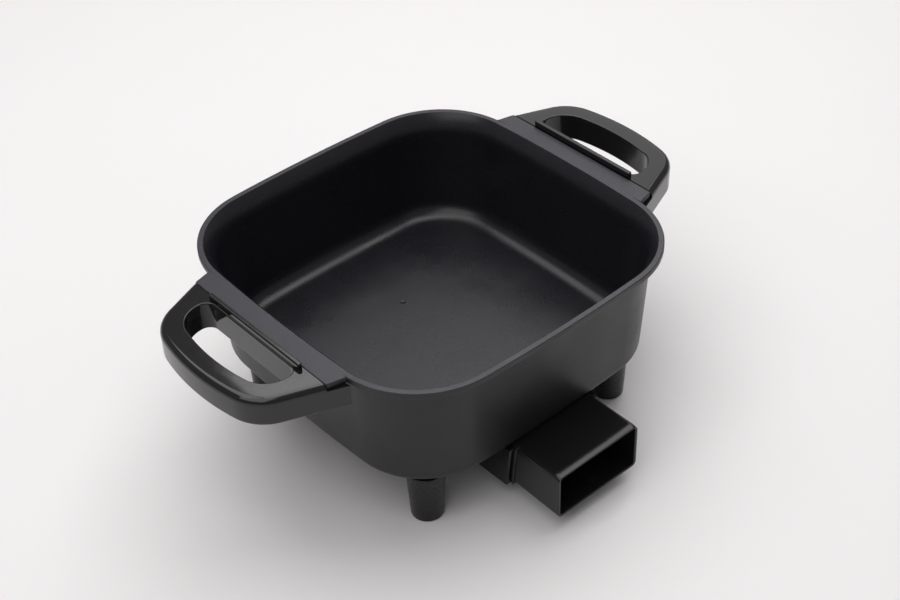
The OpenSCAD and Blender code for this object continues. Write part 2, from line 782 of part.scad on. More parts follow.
module leg_washer(x, y) {
  at_leg(x, y) color(steel_colour)
    translate([0, 0, leg_head_z])
      difference() {
        cylinder(r = washer_r, h = washer_t);
        translate([0, 0, -over]) cylinder(r = leg_screw_r + slip_gap, h = washer_t + 2 * over);
      }
}

module leg_screw(x, y) {
  at_leg(x, y) translate([0, 0, leg_head_z]) screw(leg_screw_r, tap_top_z - tip_gap - leg_head_z);
}

// ---- Nodes ---------------------------------------------------------------------------------

pan();
heating_element();
terminal_pin(-1);  // terminal_pin_left
terminal_pin(1);  // terminal_pin_right
terminal_insulator(-1);  // terminal_insulator_left
terminal_insulator(1);  // terminal_insulator_right
sensor_sleeve();
probe_guard();
guard_screw(-1);  // guard_screw_left
guard_screw(1);  // guard_screw_right
handle(1);  // handle_left
handle(0);  // handle_right
handle_screw(-1, -1);  // handle_screw_left_front
handle_screw(-1, 1);  // handle_screw_left_rear
handle_screw(1, -1);  // handle_screw_right_front
handle_screw(1, 1);  // handle_screw_right_rear
leg(-1, -1);  // leg_left_front
leg(1, -1);  // leg_right_front
leg(-1, 1);  // leg_left_rear
leg(1, 1);  // leg_right_rear
leg_washer(-1, -1);  // leg_washer_left_front
leg_washer(1, -1);  // leg_washer_right_front
leg_washer(-1, 1);  // leg_washer_left_rear
leg_washer(1, 1);  // leg_washer_right_rear
leg_screw(-1, -1);  // leg_screw_left_front
leg_screw(1, -1);  // leg_screw_right_front
leg_screw(-1, 1);  // leg_screw_left_rear
leg_screw(1, 1);  // leg_screw_right_rear
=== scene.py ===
"""Electric skillet: detailed pieces, finishes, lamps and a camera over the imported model.

Shapes are drawn in millimetres around the middle of the pan, which stands PAN_MIDDLE_Y behind the
origin, and become pieces in metres. +X runs from handle to handle, -Y out of the guard's mouth, and
+Z up from the table.
"""

from __future__ import annotations

import logging
from collections.abc import Callable, Sequence
from dataclasses import dataclass, field
from enum import Enum
from math import acos, asin, atan, atan2, cos, degrees, pi, radians, sin, sqrt, tan

import bmesh
import bpy
from bmesh.types import BMEdge, BMFace, BMVert
from mathutils import Matrix, Vector

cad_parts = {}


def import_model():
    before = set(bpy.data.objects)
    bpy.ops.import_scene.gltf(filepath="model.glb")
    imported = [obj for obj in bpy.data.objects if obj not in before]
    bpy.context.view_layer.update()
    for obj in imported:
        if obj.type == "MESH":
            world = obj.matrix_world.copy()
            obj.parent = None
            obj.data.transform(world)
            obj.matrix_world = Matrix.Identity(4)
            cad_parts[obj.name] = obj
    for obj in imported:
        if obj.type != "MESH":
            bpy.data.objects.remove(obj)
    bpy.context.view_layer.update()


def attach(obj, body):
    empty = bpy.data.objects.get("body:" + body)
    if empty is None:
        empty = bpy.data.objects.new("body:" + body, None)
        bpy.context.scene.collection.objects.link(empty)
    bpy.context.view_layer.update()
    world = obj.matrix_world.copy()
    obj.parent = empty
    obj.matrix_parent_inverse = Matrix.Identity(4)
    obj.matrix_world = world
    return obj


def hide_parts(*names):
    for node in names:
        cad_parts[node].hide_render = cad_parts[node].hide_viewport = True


LOG = logging.getLogger("skillet")
METRES = 0.001
PAN_MIDDLE_Y = 16.0
TINY = 0.001
TIP_BACK = Matrix.Rotation(pi / 2, 4, "X")

# Where pieces meet, in millimetres: places beside and before the middle of the pan, and radii.
HANDLE_SCREW_AT = (146.0, 60.0)
LEG_SCREW_AT = (91.0, 94.0)
GUARD_SCREW_AT = (33.3, -106.0)
TERMINAL_X = 19.0
TERMINAL_Z = 39.0
SHANK_HOLE_R = 2.8

Point = tuple[float, float]
Colour = tuple[float, float, float]
Socket = bpy.types.NodeSocket
Tone = Colour | Socket


# ---- Drawing and shaping ----


@dataclass(frozen=True)
class Arc:
    """A turn of the pen about a centre.

    Attributes:
        centre: The middle of the arc.
        turn: The angle that the pen turns through, in degrees, anticlockwise where positive.
        steps: The number of edges along the arc.
    """

    centre: Point
    turn: float
    steps: int


Stroke = Point | Arc


@dataclass(frozen=True)
class Drawing:
    """A start and the strokes that follow from it.

    Attributes:
        start: Where the pen is set down.
        strokes: The strokes in order, each an arc or the end of a straight line.
    """

    start: Point
    strokes: tuple[Stroke, ...]


class Combine(Enum):
    """Ways to combine two solids."""

    JOIN = "UNION"
    CUT = "DIFFERENCE"


class Shape:
    """A mesh in the making, in millimetres."""

    def __init__(self) -> None:
        """Starts an empty shape."""
        self.bm = bmesh.new()

    # -- Drawing --

    def draw(self, drawing: Drawing, height: float = 0.0, closed: bool = True) -> list[BMEdge]:
        """Draws a chain of edges at one height.

        Args:
            drawing: The start and the strokes.
            height: The chain's Z.
            closed: Whether the last stroke ends where the first one starts.

        Returns:
            The edges in order.
        """
        first = bmesh.ops.create_vert(self.bm, co=(*drawing.start, height))["vert"][0]
        tip = first
        for stroke in drawing.strokes:
            if isinstance(stroke, Arc):
                tip = self._spin([tip], (*stroke.centre, height), stroke.turn, stroke.steps)[0]
            else:
                tip = bmesh.ops.extrude_vert_indiv(self.bm, verts=[tip])["verts"][0]
                tip.co = (*stroke, height)
        if closed:
            bmesh.ops.weld_verts(self.bm, targetmap={tip: first})
        chain: list[BMEdge] = []
        seen: set[BMEdge] = set()
        here = first
        while onward := [e for e in here.link_edges if e not in seen]:
            seen.add(onward[0])
            chain.append(onward[0])
            here = onward[0].other_vert(here)
        return chain

    def fill(self, loop: Sequence[BMEdge]) -> BMFace:
        """Closes a flat loop of edges with one face."""
        return bmesh.ops.contextual_create(self.bm, geom=list(loop))["faces"][0]

    def pull(self, parts: Sequence, offset: Sequence[float]) -> list:
        """Extrudes faces, or a chain of edges, and returns what was moved out.

        Args:
            parts: The faces or edges.
            offset: The way that the new ones are moved.

        Returns:
            The new faces, or the new edges where there were no faces.
        """
        if isinstance(parts[0], BMFace):
            made = bmesh.ops.extrude_face_region(self.bm, geom=list(parts))["geom"]
            kept = [g for g in made if isinstance(g, BMFace)]
        else:
            made = bmesh.ops.extrude_edge_only(self.bm, edges=list(parts))["geom"]
            new_verts = {g for g in made if isinstance(g, BMVert)}
            kept = [g for g in made if isinstance(g, BMEdge) and set(g.verts) <= new_verts]
        bmesh.ops.translate(self.bm, vec=offset, verts=[g for g in made if isinstance(g, BMVert)])
        return kept

    def _spin(self, geom: list, centre: Sequence[float], turn: float, steps: int,
              merge: bool = False) -> list:
        """Sweeps vertices and edges around an upright axis.

        Args:
            geom: What is swept.
            centre: Where the axis stands.
            turn: The angle of the sweep in degrees.
            steps: The number of bands along it.
            merge: Whether a full turn closes on its own start.

        Returns:
            What lies at the end of the sweep.
        """
        return bmesh.ops.spin(self.bm, geom=geom, cent=centre, axis=(0, 0, 1), dvec=(0, 0, 0),
                              angle=radians(turn), steps=steps, use_merge=merge,
                              use_normal_flip=False, use_duplicate=False)["geom_last"]

    def swing(self, chain: Sequence[BMEdge], centre: Point, turn: float,
              steps: int) -> list[BMEdge]:
        """Sweeps a chain of edges around an upright axis.

        Args:
            chain: The edges at the start of the bend.
            centre: Where the axis stands.
            turn: The angle of the bend in degrees.
            steps: The number of bands along the bend.

        Returns:
            The edges at the end of the bend.
        """
        ends = {v for e in chain for v in e.verts}
        swept = self._spin([*ends, *chain], (*centre, 0), turn, steps)
        return [g for g in swept if isinstance(g, BMEdge)]

    # -- Whole forms --

    @classmethod
    def loft(cls, *sections: tuple[Drawing, float]) -> Shape:
        """Makes a solid through drawings, and closes it at both ends.

        Args:
            sections: The drawings with their heights, in order. All have as many points.

        Returns:
            The solid.
        """
        shape = cls()
        rings = [shape.draw(drawing, height) for drawing, height in sections]
        for lower, upper in zip(rings, rings[1:]):
            bmesh.ops.bridge_loops(shape.bm, edges=[*lower, *upper])
        shape.fill(rings[0])
        shape.fill(rings[-1])
        return shape

    @classmethod
    def prism(cls, drawing: Drawing, low: float, high: float) -> Shape:
        """Makes an upright prism with a drawn outline.

        Args:
            drawing: The closed outline.
            low: Height of its foot.
            high: Height of its top.

        Returns:
            The prism.
        """
        shape = cls()
        shape.pull([shape.fill(shape.draw(drawing, low))], (0, 0, high - low))
        return shape

    @classmethod
    def turned(cls, profile: Drawing, steps: int = 64, closed: bool = False) -> Shape:
        """Turns a profile round the Z axis.

        Args:
            profile: Radius and height of each point. An open one starts and ends on the axis.
            steps: The number of faces round the form.
            closed: Whether the profile is a ring that stays clear of the axis.

        Returns:
            The closed form.
        """
        shape = cls()
        shape.draw(profile, closed=closed)
        shape.transform(TIP_BACK)
        shape._spin([*shape.bm.verts, *shape.bm.edges], (0, 0, 0), 360, steps, merge=True)
        return shape.weld()

    @classmethod
    def block(cls, low: Sequence[float], high: Sequence[float]) -> Shape:
        """Makes a box between two corners.

        Args:
            low: The corner with the lowest X, Y and Z.
            high: The opposite corner.

        Returns:
            The box.
        """
        shape = cls()
        size = [b - a for a, b in zip(low, high)]
        middle = [(a + b) / 2 for a, b in zip(low, high)]
        bmesh.ops.create_cube(shape.bm, size=1.0,
                              matrix=Matrix.LocRotScale(Vector(middle), None, Vector(size)))
        return shape

    # -- Changes --

    def transform(self, matrix: Matrix) -> Shape:
        """Moves, turns or scales the whole shape.

        Args:
            matrix: The change. After a mirroring, the faces are turned outwards again.

        Returns:
            This shape.
        """
        bmesh.ops.transform(self.bm, matrix=matrix, verts=self.bm.verts)
        if matrix.determinant() < 0:
            bmesh.ops.reverse_faces(self.bm, faces=self.bm.faces)
        return self

    def move(self, x: float = 0.0, y: float = 0.0, z: float = 0.0) -> Shape:
        """Moves the whole shape."""
        return self.transform(Matrix.Translation((x, y, z)))

    def copy(self) -> Shape:
        """Makes a second shape like this one.

        Returns:
            The copy.
        """
        twin = Shape()
        twin.bm.free()
        twin.bm = self.bm.copy()
        return twin

    def mirrored(self) -> Shape:
        """Returns this shape's mirror image across the YZ plane."""
        return self.copy().transform(Matrix.Diagonal((-1, 1, 1, 1)))

    def weld(self, distance: float = TINY) -> Shape:
        """Merges vertices that lie on each other, and turns the faces outwards.

        Args:
            distance: How far apart two vertices may be to count as one.

        Returns:
            This shape.
        """
        bmesh.ops.remove_doubles(self.bm, verts=self.bm.verts, dist=distance)
        bmesh.ops.dissolve_degenerate(self.bm, edges=self.bm.edges, dist=distance / 2)
        bmesh.ops.recalc_face_normals(self.bm, faces=self.bm.faces)
        return self

    def edges_where(self, test: Callable[[Vector, Vector], bool]) -> list[BMEdge]:
        """Returns the edges whose two ends pass a test."""
        return [e for e in self.bm.edges if test(e.verts[0].co, e.verts[1].co)]

    def lowest(self) -> list[BMEdge]:
        """Returns the edges round the lowest face."""
        foot = min(v.co.z for v in self.bm.verts) + TINY
        return self.edges_where(lambda a, b: max(a.z, b.z) < foot)

    def round_off(self, edges: Sequence[BMEdge], width: float, segments: int) -> Shape:
        """Rounds edges off.

        Args:
            edges: The edges to round.
            width: Distance from each edge to where the rounding starts.
            segments: The number of bands across the rounding.

        Returns:
            This shape.
        """
        bmesh.ops.bevel(self.bm, geom=list(edges), offset=width, offset_type="OFFSET",
                        affect="EDGES", segments=segments, profile=0.5, material=-1,
                        clamp_overlap=False, loop_slide=True)
        return self

    def take_in(self, *others: Shape) -> Shape:
        """Adds other shapes' closed shells to this one as they are.

        Args:
            others: The shapes, which stay as they were.

        Returns:
            This shape.
        """
        for other in others:
            bmesh.ops.recalc_face_normals(other.bm, faces=other.bm.faces)
            loose = bpy.data.meshes.new("loose")
            other.bm.to_mesh(loose)
            self.bm.from_mesh(loose)
            bpy.data.meshes.remove(loose)
        return self

    def combine(self, how: Combine, *tools: Shape) -> Shape:
        """Joins solids to this one, or cuts them out of it.

        Args:
            how: Whether to join or to cut.
            tools: The other solids, one after the other.

        Returns:
            This shape.
        """
        for tool in tools:
            body = self._loose_object("body")
            blade = tool._loose_object("blade")
            step = body.modifiers.new("combine", "BOOLEAN")
            step.operation, step.solver, step.object = how.value, "EXACT", blade
            graph = bpy.context.evaluated_depsgraph_get()
            self.bm.free()
            self.bm = bmesh.new()
            self.bm.from_object(body, graph)
            for used in (body, blade):
                mesh = used.data
                bpy.data.objects.remove(used)
                bpy.data.meshes.remove(mesh)
            bmesh.ops.remove_doubles(self.bm, verts=self.bm.verts, dist=TINY)
        return self

    def _loose_object(self, name: str) -> bpy.types.Object:
        """Puts a copy of the mesh into the scene for a modifier to work on.

        Args:
            name: The object's name.

        Returns:
            The object.
        """
        bmesh.ops.recalc_face_normals(self.bm, faces=self.bm.faces)
        mesh = bpy.data.meshes.new(name)
        self.bm.to_mesh(mesh)
        return place_object(name, mesh)

    # -- Pieces --

    def piece(self, name: str, finish: Finish, *nodes: str, crease: float = 32.0,
              lining: Finish | None = None, lined: Callable[[BMFace], bool] | None = None
              ) -> bpy.types.Object:
        """Turns the shape into a piece of the object.

        Args:
            name: The piece's name.
            finish: What it is made of.
            nodes: The nodes of the model that it stands for.
            crease: The angle in degrees past which an edge stays sharp.
            lining: A second finish for some of its faces.
            lined: Tells, in millimetres, whether a face has the second finish.

        Returns:
            The piece's object.
        """
        bmesh.ops.recalc_face_normals(self.bm, faces=self.bm.faces)
        for face in self.bm.faces:
            face.smooth = True
            face.material_index = int(lined is not None and lined(face))
        self.transform(Matrix.Scale(METRES, 4) @ Matrix.Translation((0, PAN_MIDDLE_Y, 0)))
        for edge in self.bm.edges:
            edge.smooth = len(edge.link_faces) == 2 and edge.calc_face_angle(0) < radians(crease)
        mesh = bpy.data.meshes.new(name)
        self.bm.to_mesh(mesh)
        self.bm.free()
        made = place_object(name, mesh)
        made.modifiers.new("even_shading", "WEIGHTED_NORMAL").keep_sharp = True
        for coat in (finish, lining) if lining else (finish,):
            made.data.materials.append(coat.material)
        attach(made, "root")
        if nodes:
            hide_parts(*nodes)
        LOG.info("%s: %d faces", name, len(mesh.polygons))
        return made


def place_object(name: str, data: bpy.types.ID, place: Matrix | None = None) -> bpy.types.Object:
    """Puts an object with some data into the scene.

    Args:
        name: The object's name.
        data: Its mesh, lamp or lens.
        place: Where it stands, if not at the origin.

    Returns:
        The object.
    """
    made = bpy.data.objects.new(name, data)
    if place is not None:
        made.matrix_world = place
    bpy.context.scene.collection.objects.link(made)
    return made


def rounded_box(half: float, low: float, high: float, radius: float, steps: int = 8) -> Drawing:
    """Draws a rectangle with round corners.

    Args:
        half: Half its width.
        low: Its lower edge.
        high: Its upper edge.
        radius: Radius of its corners.
        steps: The number of edges round a corner.

    Returns:
        The closed drawing.
    """
    x, bottom, top = half - radius, low + radius, high - radius
    corners = [(x, top), (-x, top), (-x, bottom), (x, bottom)]
    starts = [(half, top), (-x, high), (-half, bottom), (x, low)]
    strokes: list[Stroke] = []
    for corner, start in zip(corners, starts):
        strokes += [start, Arc(corner, 90, steps)]
    return Drawing((half, bottom), tuple(strokes))


def stepped(foot: float, *steps: Point) -> Drawing:
    """Draws half the section of a post with steps.

    Args:
        foot: Height of its foot.
        steps: The radius of each step and the height of its top, from below.

    Returns:
        The drawing, which starts and ends on the axis.
    """
    points: list[Point] = []
    low = foot
    for radius, top in steps:
        points += [(radius, low), (radius, top)]
        low = top
    return Drawing((0, foot), (*points, (0, low)))


def polar(radius: float, angle: float) -> Point:
    """Returns X and Y at a distance and an angle, in degrees from +X towards +Y."""
    return radius * cos(radians(angle)), radius * sin(radians(angle))


def turns(steps: int, angle: float = pi / 2) -> list[Point]:
    """Lists the sine and the cosine at even steps of a turn, from no turn at all to the angle."""
    return [(sin(angle * i / steps), cos(angle * i / steps)) for i in range(steps + 1)]


def on_corners() -> list[tuple[str, float, float]]:
    """Lists the four corners of the pan as (name, side, end), with -1 for left and front."""
    return [(f"{across}_{along}", side, end) for along, end in (("front", -1), ("rear", 1))
            for across, side in (("left", -1), ("right", 1))]


# ---- Finishes ----


class Graph:
    """The node tree of a material, with short calls to add nodes and join them."""

    def __init__(self, name: str) -> None:
        """Starts a material with an empty tree.

        Args:
            name: The material's name.
        """
        self.material = bpy.data.materials.new(name)
        self.material.use_nodes = True
        self.tree = self.material.node_tree
        self.tree.nodes.clear()
        self.place = self.add("ShaderNodeTexCoord").outputs["Object"]

    def add(self, kind: str, settings: dict | None = None, **inputs: object) -> bpy.types.Node:
        """Adds a node.

        Args:
            kind: The node's type.
            settings: Its settings by name.
            inputs: Its sockets by name, with _ for a blank, each a value or a socket to join.

        Returns:
            The node.
        """
        node = self.tree.nodes.new(kind)
        for key, value in (settings or {}).items():
            setattr(node, key, value)
        for key, value in inputs.items():
            socket = node.inputs[key.replace("_", " ")]
            if isinstance(value, Socket):
                self.tree.links.new(value, socket)
            else:
                socket.default_value = value
        return node

    def noise(self, scale: float, detail: float = 2.0, roughness: float = 0.5) -> Socket:
        """Adds solid noise, with its scale in lumps per metre."""
        return self.add("ShaderNodeTexNoise", None, Vector=self.place, Scale=scale, Detail=detail,
                        Roughness=roughness).outputs["Fac"]

    def ramp(self, source: Socket, low: float, high: float, from_value: float,
             to_value: float) -> Socket:
        """Maps a range of a value onto another range, and clamps it.

        Args:
            source: The value.
            low: Where its range starts.
            high: Where its range ends.
            from_value: What the start becomes.
            to_value: What the end becomes.

        Returns:
            The mapped value.
        """
        return self.add("ShaderNodeMapRange", {"clamp": True}, Value=source, From_Min=low,
                        From_Max=high, To_Min=from_value, To_Max=to_value).outputs["Result"]

    def blend(self, share: Socket, dark: Tone, light: Tone) -> Socket:
        """Mixes two colours, each fixed or from a socket, by a share.

        Args:
            share: The share of the light one.
            dark: The colour where the share is none.
            light: The colour where the share is full.

        Returns:
            The mixed colour.
        """
        node = self.add("ShaderNodeMix", {"data_type": "RGBA"})
        self.tree.links.new(share, node.inputs[0])
        for socket, tone in ((node.inputs[6], dark), (node.inputs[7], light)):
            if isinstance(tone, Socket):
                self.tree.links.new(tone, socket)
            else:
                socket.default_value = (*tone, 1)
        return node.outputs[2]

    def height(self) -> Socket:
        """Adds the height above the table in metres."""
        return self.add("ShaderNodeSeparateXYZ", None, Vector=self.place).outputs["Z"]

    def bump(self, height: Socket, depth: float, under: Socket | None = None) -> Socket:
        """Turns a height into a bump.

        Args:
            height: The height, from 0 to 1.
            depth: What a height of 1 stands for, in metres.
            under: Another bump that this one lies on.

        Returns:
            The bumped normal.
        """
        node = self.add("ShaderNodeBump", None, Height=height, Distance=depth)
        if under is not None:
            self.tree.links.new(under, node.inputs["Normal"])
        return node.outputs["Normal"]

    def finish(self, **inputs: object) -> bpy.types.Material:
        """Ends the tree in a surface.

        Args:
            inputs: The surface's sockets by name, with _ for a blank.

        Returns:
            The material.
        """
        surface = self.add("ShaderNodeBsdfPrincipled", None, **inputs)
        out = self.add("ShaderNodeOutputMaterial")
        self.tree.links.new(surface.outputs["BSDF"], out.inputs["Surface"])
        return self.material


@dataclass(frozen=True)
class Finish:
    """What a piece is made of.

    Attributes:
        slot: The name of its material slot, which is not used here.
        name: The material's name.
    """

    slot: str
    name: str

    @property
    def material(self) -> bpy.types.Material:
        """The material, made when it is first asked for."""
        return bpy.data.materials.get(self.name) or self.make()

    def make(self) -> bpy.types.Material:
        """Makes the material."""
        raise NotImplementedError


@dataclass(frozen=True)
class CastCoat(Finish):
    """Dark coat on cast aluminium: fine orange peel, pale flecks, and a painted highlight on the
    rim's top.
    """

    base: Colour = (0.008, 0.0078, 0.0078)
    wall_fleck: Colour = (0.02, 0.02, 0.02)
    rim: Colour = (0.022, 0.020, 0.027)
    # Painted highlight: the paler colour and brighter flecks of the rim's and the ledges' tops,
    # where they catch the lamps.
    rim_highlight_fleck: Colour = (0.09, 0.09, 0.11)
    rim_highlight_from: float = 0.1425
    rim_highlight_to: float = 0.1439
    roughness: float = 0.4

    def make(self) -> bpy.types.Material:
        """Makes the coat's material.

        Returns:
            The material.
        """
        g = Graph(self.name)
        fleck = g.ramp(g.noise(1500, 1), 0.58, 0.72, 0, 1)
        cloud = g.noise(28, 4, 0.6)
        peel = g.noise(800, 2)
        # Painted highlight: a mask that rises over the top millimetre and a half of the rim and
        # ledges, where the paler colours go.
        rim = g.ramp(g.height(), self.rim_highlight_from, self.rim_highlight_to, 0, 1)
        wall = g.blend(fleck, self.base, self.wall_fleck)
        return g.finish(Base_Color=g.blend(rim, wall, g.blend(fleck, self.rim, self.rim_highlight_fleck)),
                        Roughness=g.ramp(cloud, 0.3, 0.7, self.roughness - 0.05,
                                         self.roughness + 0.06),
                        Normal=g.bump(peel, 0.00009), IOR=1.47)


@dataclass(frozen=True)
class NonStickCoat(Finish):
    """Smooth dark coat of a cooking surface: fine grain, soft clouds and one small dimple."""

    base: Colour = (0.010, 0.010, 0.013)
    fleck: Colour = (0.05, 0.05, 0.06)
    dimple: tuple[float, float, float] = (0.0059, 0.0587, 0.054)
    dimple_r: float = 0.0021
    roughness: float = 0.28

    def make(self) -> bpy.types.Material:
        """Makes the coat's material.

        Returns:
            The material.
        """
        g = Graph(self.name)
        fleck = g.ramp(g.noise(1600, 1), 0.68, 0.76, 0, 1)
        cloud = g.noise(22, 4, 0.6)
        peel = g.bump(g.noise(900, 2), 0.00005)
        away = g.add("ShaderNodeVectorMath", {"operation": "DISTANCE"}, Vector=g.place)
        away.inputs[1].default_value = self.dimple
        dish = g.ramp(away.outputs["Value"], 0.4 * self.dimple_r, self.dimple_r, 0, 1)
        return g.finish(Base_Color=g.blend(fleck, self.base, self.fleck),
                        Roughness=g.ramp(cloud, 0.3, 0.7, self.roughness - 0.05,
                                         self.roughness + 0.07),
                        Normal=g.bump(dish, 0.0006, peel), IOR=1.43)


@dataclass(frozen=True)
class Phenolic(Finish):
    """Black moulded phenolic: a faint flow in the surface and fine rubbing marks."""

    base: Colour = (0.006, 0.006, 0.0065)
    roughness: float = 0.08
    rubbed: float = 0.05
    ior: float = 1.52
    wave: float = 0.00003

    def make(self) -> bpy.types.Material:
        """Makes the moulding's material.

        Returns:
            The material.
        """
        g = Graph(self.name)
        flow = g.noise(60, 1)
        rub = g.noise(300, 3, 0.7)
        cloud = g.noise(35, 3)
        return g.finish(Base_Color=g.blend(cloud, self.base, tuple(1.5 * c for c in self.base)),
                        Roughness=g.ramp(rub, 0.35, 0.75, self.roughness,
                                         self.roughness + self.rubbed),
                        Normal=g.bump(flow, self.wave), IOR=self.ior)


@dataclass(frozen=True)
class DrawnMetal(Finish):
    """Bare or plated steel, with fine streaks and a little tarnish."""

    base: Colour = (0.62, 0.62, 0.64)
    tarnish: Colour = (0.42, 0.40, 0.38)
    roughness: float = 0.24

    def make(self) -> bpy.types.Material:
        """Makes the metal's material.

        Returns:
            The material.
        """
        g = Graph(self.name)
        cloud = g.noise(140, 4, 0.65)
        grain = g.noise(2600, 2)
        return g.finish(Base_Color=g.blend(g.ramp(cloud, 0.35, 0.7, 0, 1), self.base, self.tarnish),
                        Roughness=g.ramp(grain, 0.3, 0.7, self.roughness, self.roughness + 0.14),
                        Normal=g.bump(grain, 0.00001), Metallic=1.0)


@dataclass(frozen=True)
class Ceramic(Finish):
    """Unglazed white ceramic with a powdery grain."""

    base: Colour = (0.80, 0.77, 0.70)
    shade: Colour = (0.62, 0.57, 0.49)
    roughness: float = 0.7

    def make(self) -> bpy.types.Material:
        """Makes the ceramic's material.

        Returns:
            The material.
        """
        g = Graph(self.name)
        cloud = g.noise(300, 4, 0.7)
        return g.finish(Base_Color=g.blend(g.ramp(cloud, 0.4, 0.8, 0, 1), self.base, self.shade),
                        Roughness=self.roughness, Normal=g.bump(g.noise(3500, 2), 0.00003))


PAN_COAT = CastCoat("pan_coat", "cast_coat")
COOKING_COAT = NonStickCoat("pan_coat", "non_stick_coat")
HANDLE_BLACK = Phenolic("handle_phenolic", "polished_phenolic")
GUARD_BLACK = Phenolic("guard_phenolic", "semi_gloss_phenolic", roughness=0.19, ior=1.46)
LEG_BLACK = Phenolic("leg_phenolic", "satin_phenolic", base=(0.008, 0.0075, 0.007), roughness=0.25,
                     ior=1.43)
SHEATH = DrawnMetal("sheath", "heated_sheath", base=(0.20, 0.18, 0.17), tarnish=(0.10, 0.08, 0.08),
                    roughness=0.42)
PIN_STEEL = DrawnMetal("pin_steel", "drawn_steel", roughness=0.18)
SCREW_STEEL = DrawnMetal("screw_steel", "plated_steel", base=(0.56, 0.57, 0.60), roughness=0.3)
INSULATOR = Ceramic("ceramic", "unglazed_ceramic")


# ---- Pan ----


@dataclass
class PanCasting:
    """The deep pan, with its two ledges, its bosses and the ridge for the element."""

    rim_half: float = 140.0
    rim_corner_r: float = 69.5
    heel_corner_r: float = 59.0
    side_bow_r: float = 1460.0
    underside_z: float = 49.0
    rim_z: float = 144.0
    rim_flat: float = 4.2
    rim_edge_r: float = 0.9
    lip_h: float = 5.0
    lip_out: float = 8.8
    cove_h: float = 6.0
    flare_h: float = 18.0
    wall_lean: float = 4.3
    wall_t: float = 3.3
    floor_t: float = 5.0
    heel_r: float = 8.0
    floor_fillet_r: float = 14.0
    ledge_w: float = 12.0
    ledge_t: float = 5.0
    ledge_l: float = 146.0
    ledge_splay: float = 3.5
    ledge_corner_r: float = 1.2
    handle_boss: tuple[float, float, float] = (5.0, 131.0, 139.0)
    leg_boss: tuple[float, float, float] = (6.0, 40.0, 49.0)
    guard_boss: tuple[float, float, float] = (4.5, 42.0, 49.0)
    boss_edge: float = 0.6

    @property
    def cove_z(self) -> float:
        """Height at which the cove under the lip starts."""
        return self.rim_z - self.lip_h - self.cove_h

    @property
    def floor_z(self) -> float:
        """Height of the cooking floor."""
        return self.underside_z + self.floor_t

    @property
    def wall_foot(self) -> float:
        """Half width of the pan at the foot of its wall."""
        return self.rim_half - self.lip_out - self.wall_lean

    @property
    def ledge_x(self) -> float:
        """Distance from the middle to the outer edge of a ledge."""
        return self.rim_half + self.ledge_w

    def outline(self, inset: float, corner: float, side_steps: int = 12,
                corner_steps: int = 24) -> Drawing:
        """Draws a bowed, round-cornered square.

        Args:
            inset: Distance inside the rim.
            corner: Radius of its corners.
            side_steps: The number of edges along a side.
            corner_steps: The number of edges round a corner.

        Returns:
            The closed drawing.
        """
        half, bow = self.rim_half - inset, self.side_bow_r - inset
        mid = (half - bow + sqrt(2 * (bow - corner) ** 2 - (bow - half) ** 2)) / 2
        meet = degrees(atan2(mid, mid + bow - half))
        x, y = polar(bow, -meet)
        strokes: list[Stroke] = []
        for side, corner_mid in (((half - bow, 0), (mid, mid)), ((0, half - bow), (-mid, mid)),
                                 ((bow - half, 0), (-mid, -mid)), ((0, bow - half), (mid, -mid))):
            strokes += [Arc(side, 2 * meet, side_steps),
                        Arc(corner_mid, 90 - 2 * meet, corner_steps)]
        return Drawing((half - bow + x, y), tuple(strokes))

    def ring(self, height: float, inset: float,
             corner: float | None = None) -> tuple[Drawing, float]:
        """Pairs the outline inside the rim with a height.

        Args:
            height: The ring's height.
            inset: Distance inside the rim.
            corner: Radius of its corners. Left out, they are concentric with the rim's.

        Returns:
            The outline and its height.
        """
        return self.outline(inset, self.rim_corner_r - inset if corner is None else corner), height

    def tangent(self, radius: float) -> float:
        """Width of a rounding of some radius between a wall and a level face."""
        lean = atan(self.wall_lean / (self.cove_z - self.underside_z))
        return radius * tan(pi / 4 - lean / 2)

    def skin(self) -> Shape:
        """Makes the solid inside the pan's outer skin.

        Returns:
            The solid.
        """
        edge_r, lip_z = self.rim_edge_r, self.rim_z - self.lip_h
        shape = Shape.loft(
            self.ring(self.underside_z, self.lip_out + self.wall_lean, self.heel_corner_r),
            *(self.ring(self.cove_z + self.cove_h * sine, edge_r + (self.lip_out - edge_r) * cosine)
              for sine, cosine in turns(8)),
            *(self.ring(lip_z + edge_r * (1 - cosine), edge_r * (1 - sine))
              for sine, cosine in turns(4)[1:]),
            *(self.ring(self.rim_z - edge_r * (1 - sine), edge_r * (1 - cosine))
              for sine, cosine in turns(4)))
        return shape.round_off(shape.lowest(), self.tangent(self.heel_r), 8)

    def hollow(self, edge: float = 0.5) -> Shape:
        """Makes the solid that fills the inside of the pan, and stands out above it.

        Args:
            edge: Size of the blunt edge between the inside and the rim.

        Returns:
            The solid.
        """
        share = self.floor_t / (self.cove_z - self.underside_z)
        inner = self.lip_out + self.wall_t
        foot_corner = self.heel_corner_r * (1 - share) + (self.rim_corner_r - self.lip_out) * share
        rises = [i / 9 * (1 - edge / self.flare_h) for i in range(10)]
        shape = Shape.loft(
            self.ring(self.floor_z, self.lip_out + self.wall_lean * (1 - share) + self.wall_t,
                      foot_corner - self.wall_t),
            *(self.ring(self.rim_z - self.flare_h * (1 - rise),
                        inner + (self.rim_flat - inner) * rise * rise) for rise in rises),
            self.ring(self.rim_z - edge * 0.3, self.rim_flat + edge * 0.25),
            self.ring(self.rim_z, self.rim_flat - edge * 0.35),
            self.ring(self.rim_z + 4, self.rim_flat - edge * 0.35))
        return shape.round_off(shape.lowest(), self.tangent(self.floor_fillet_r), 14)

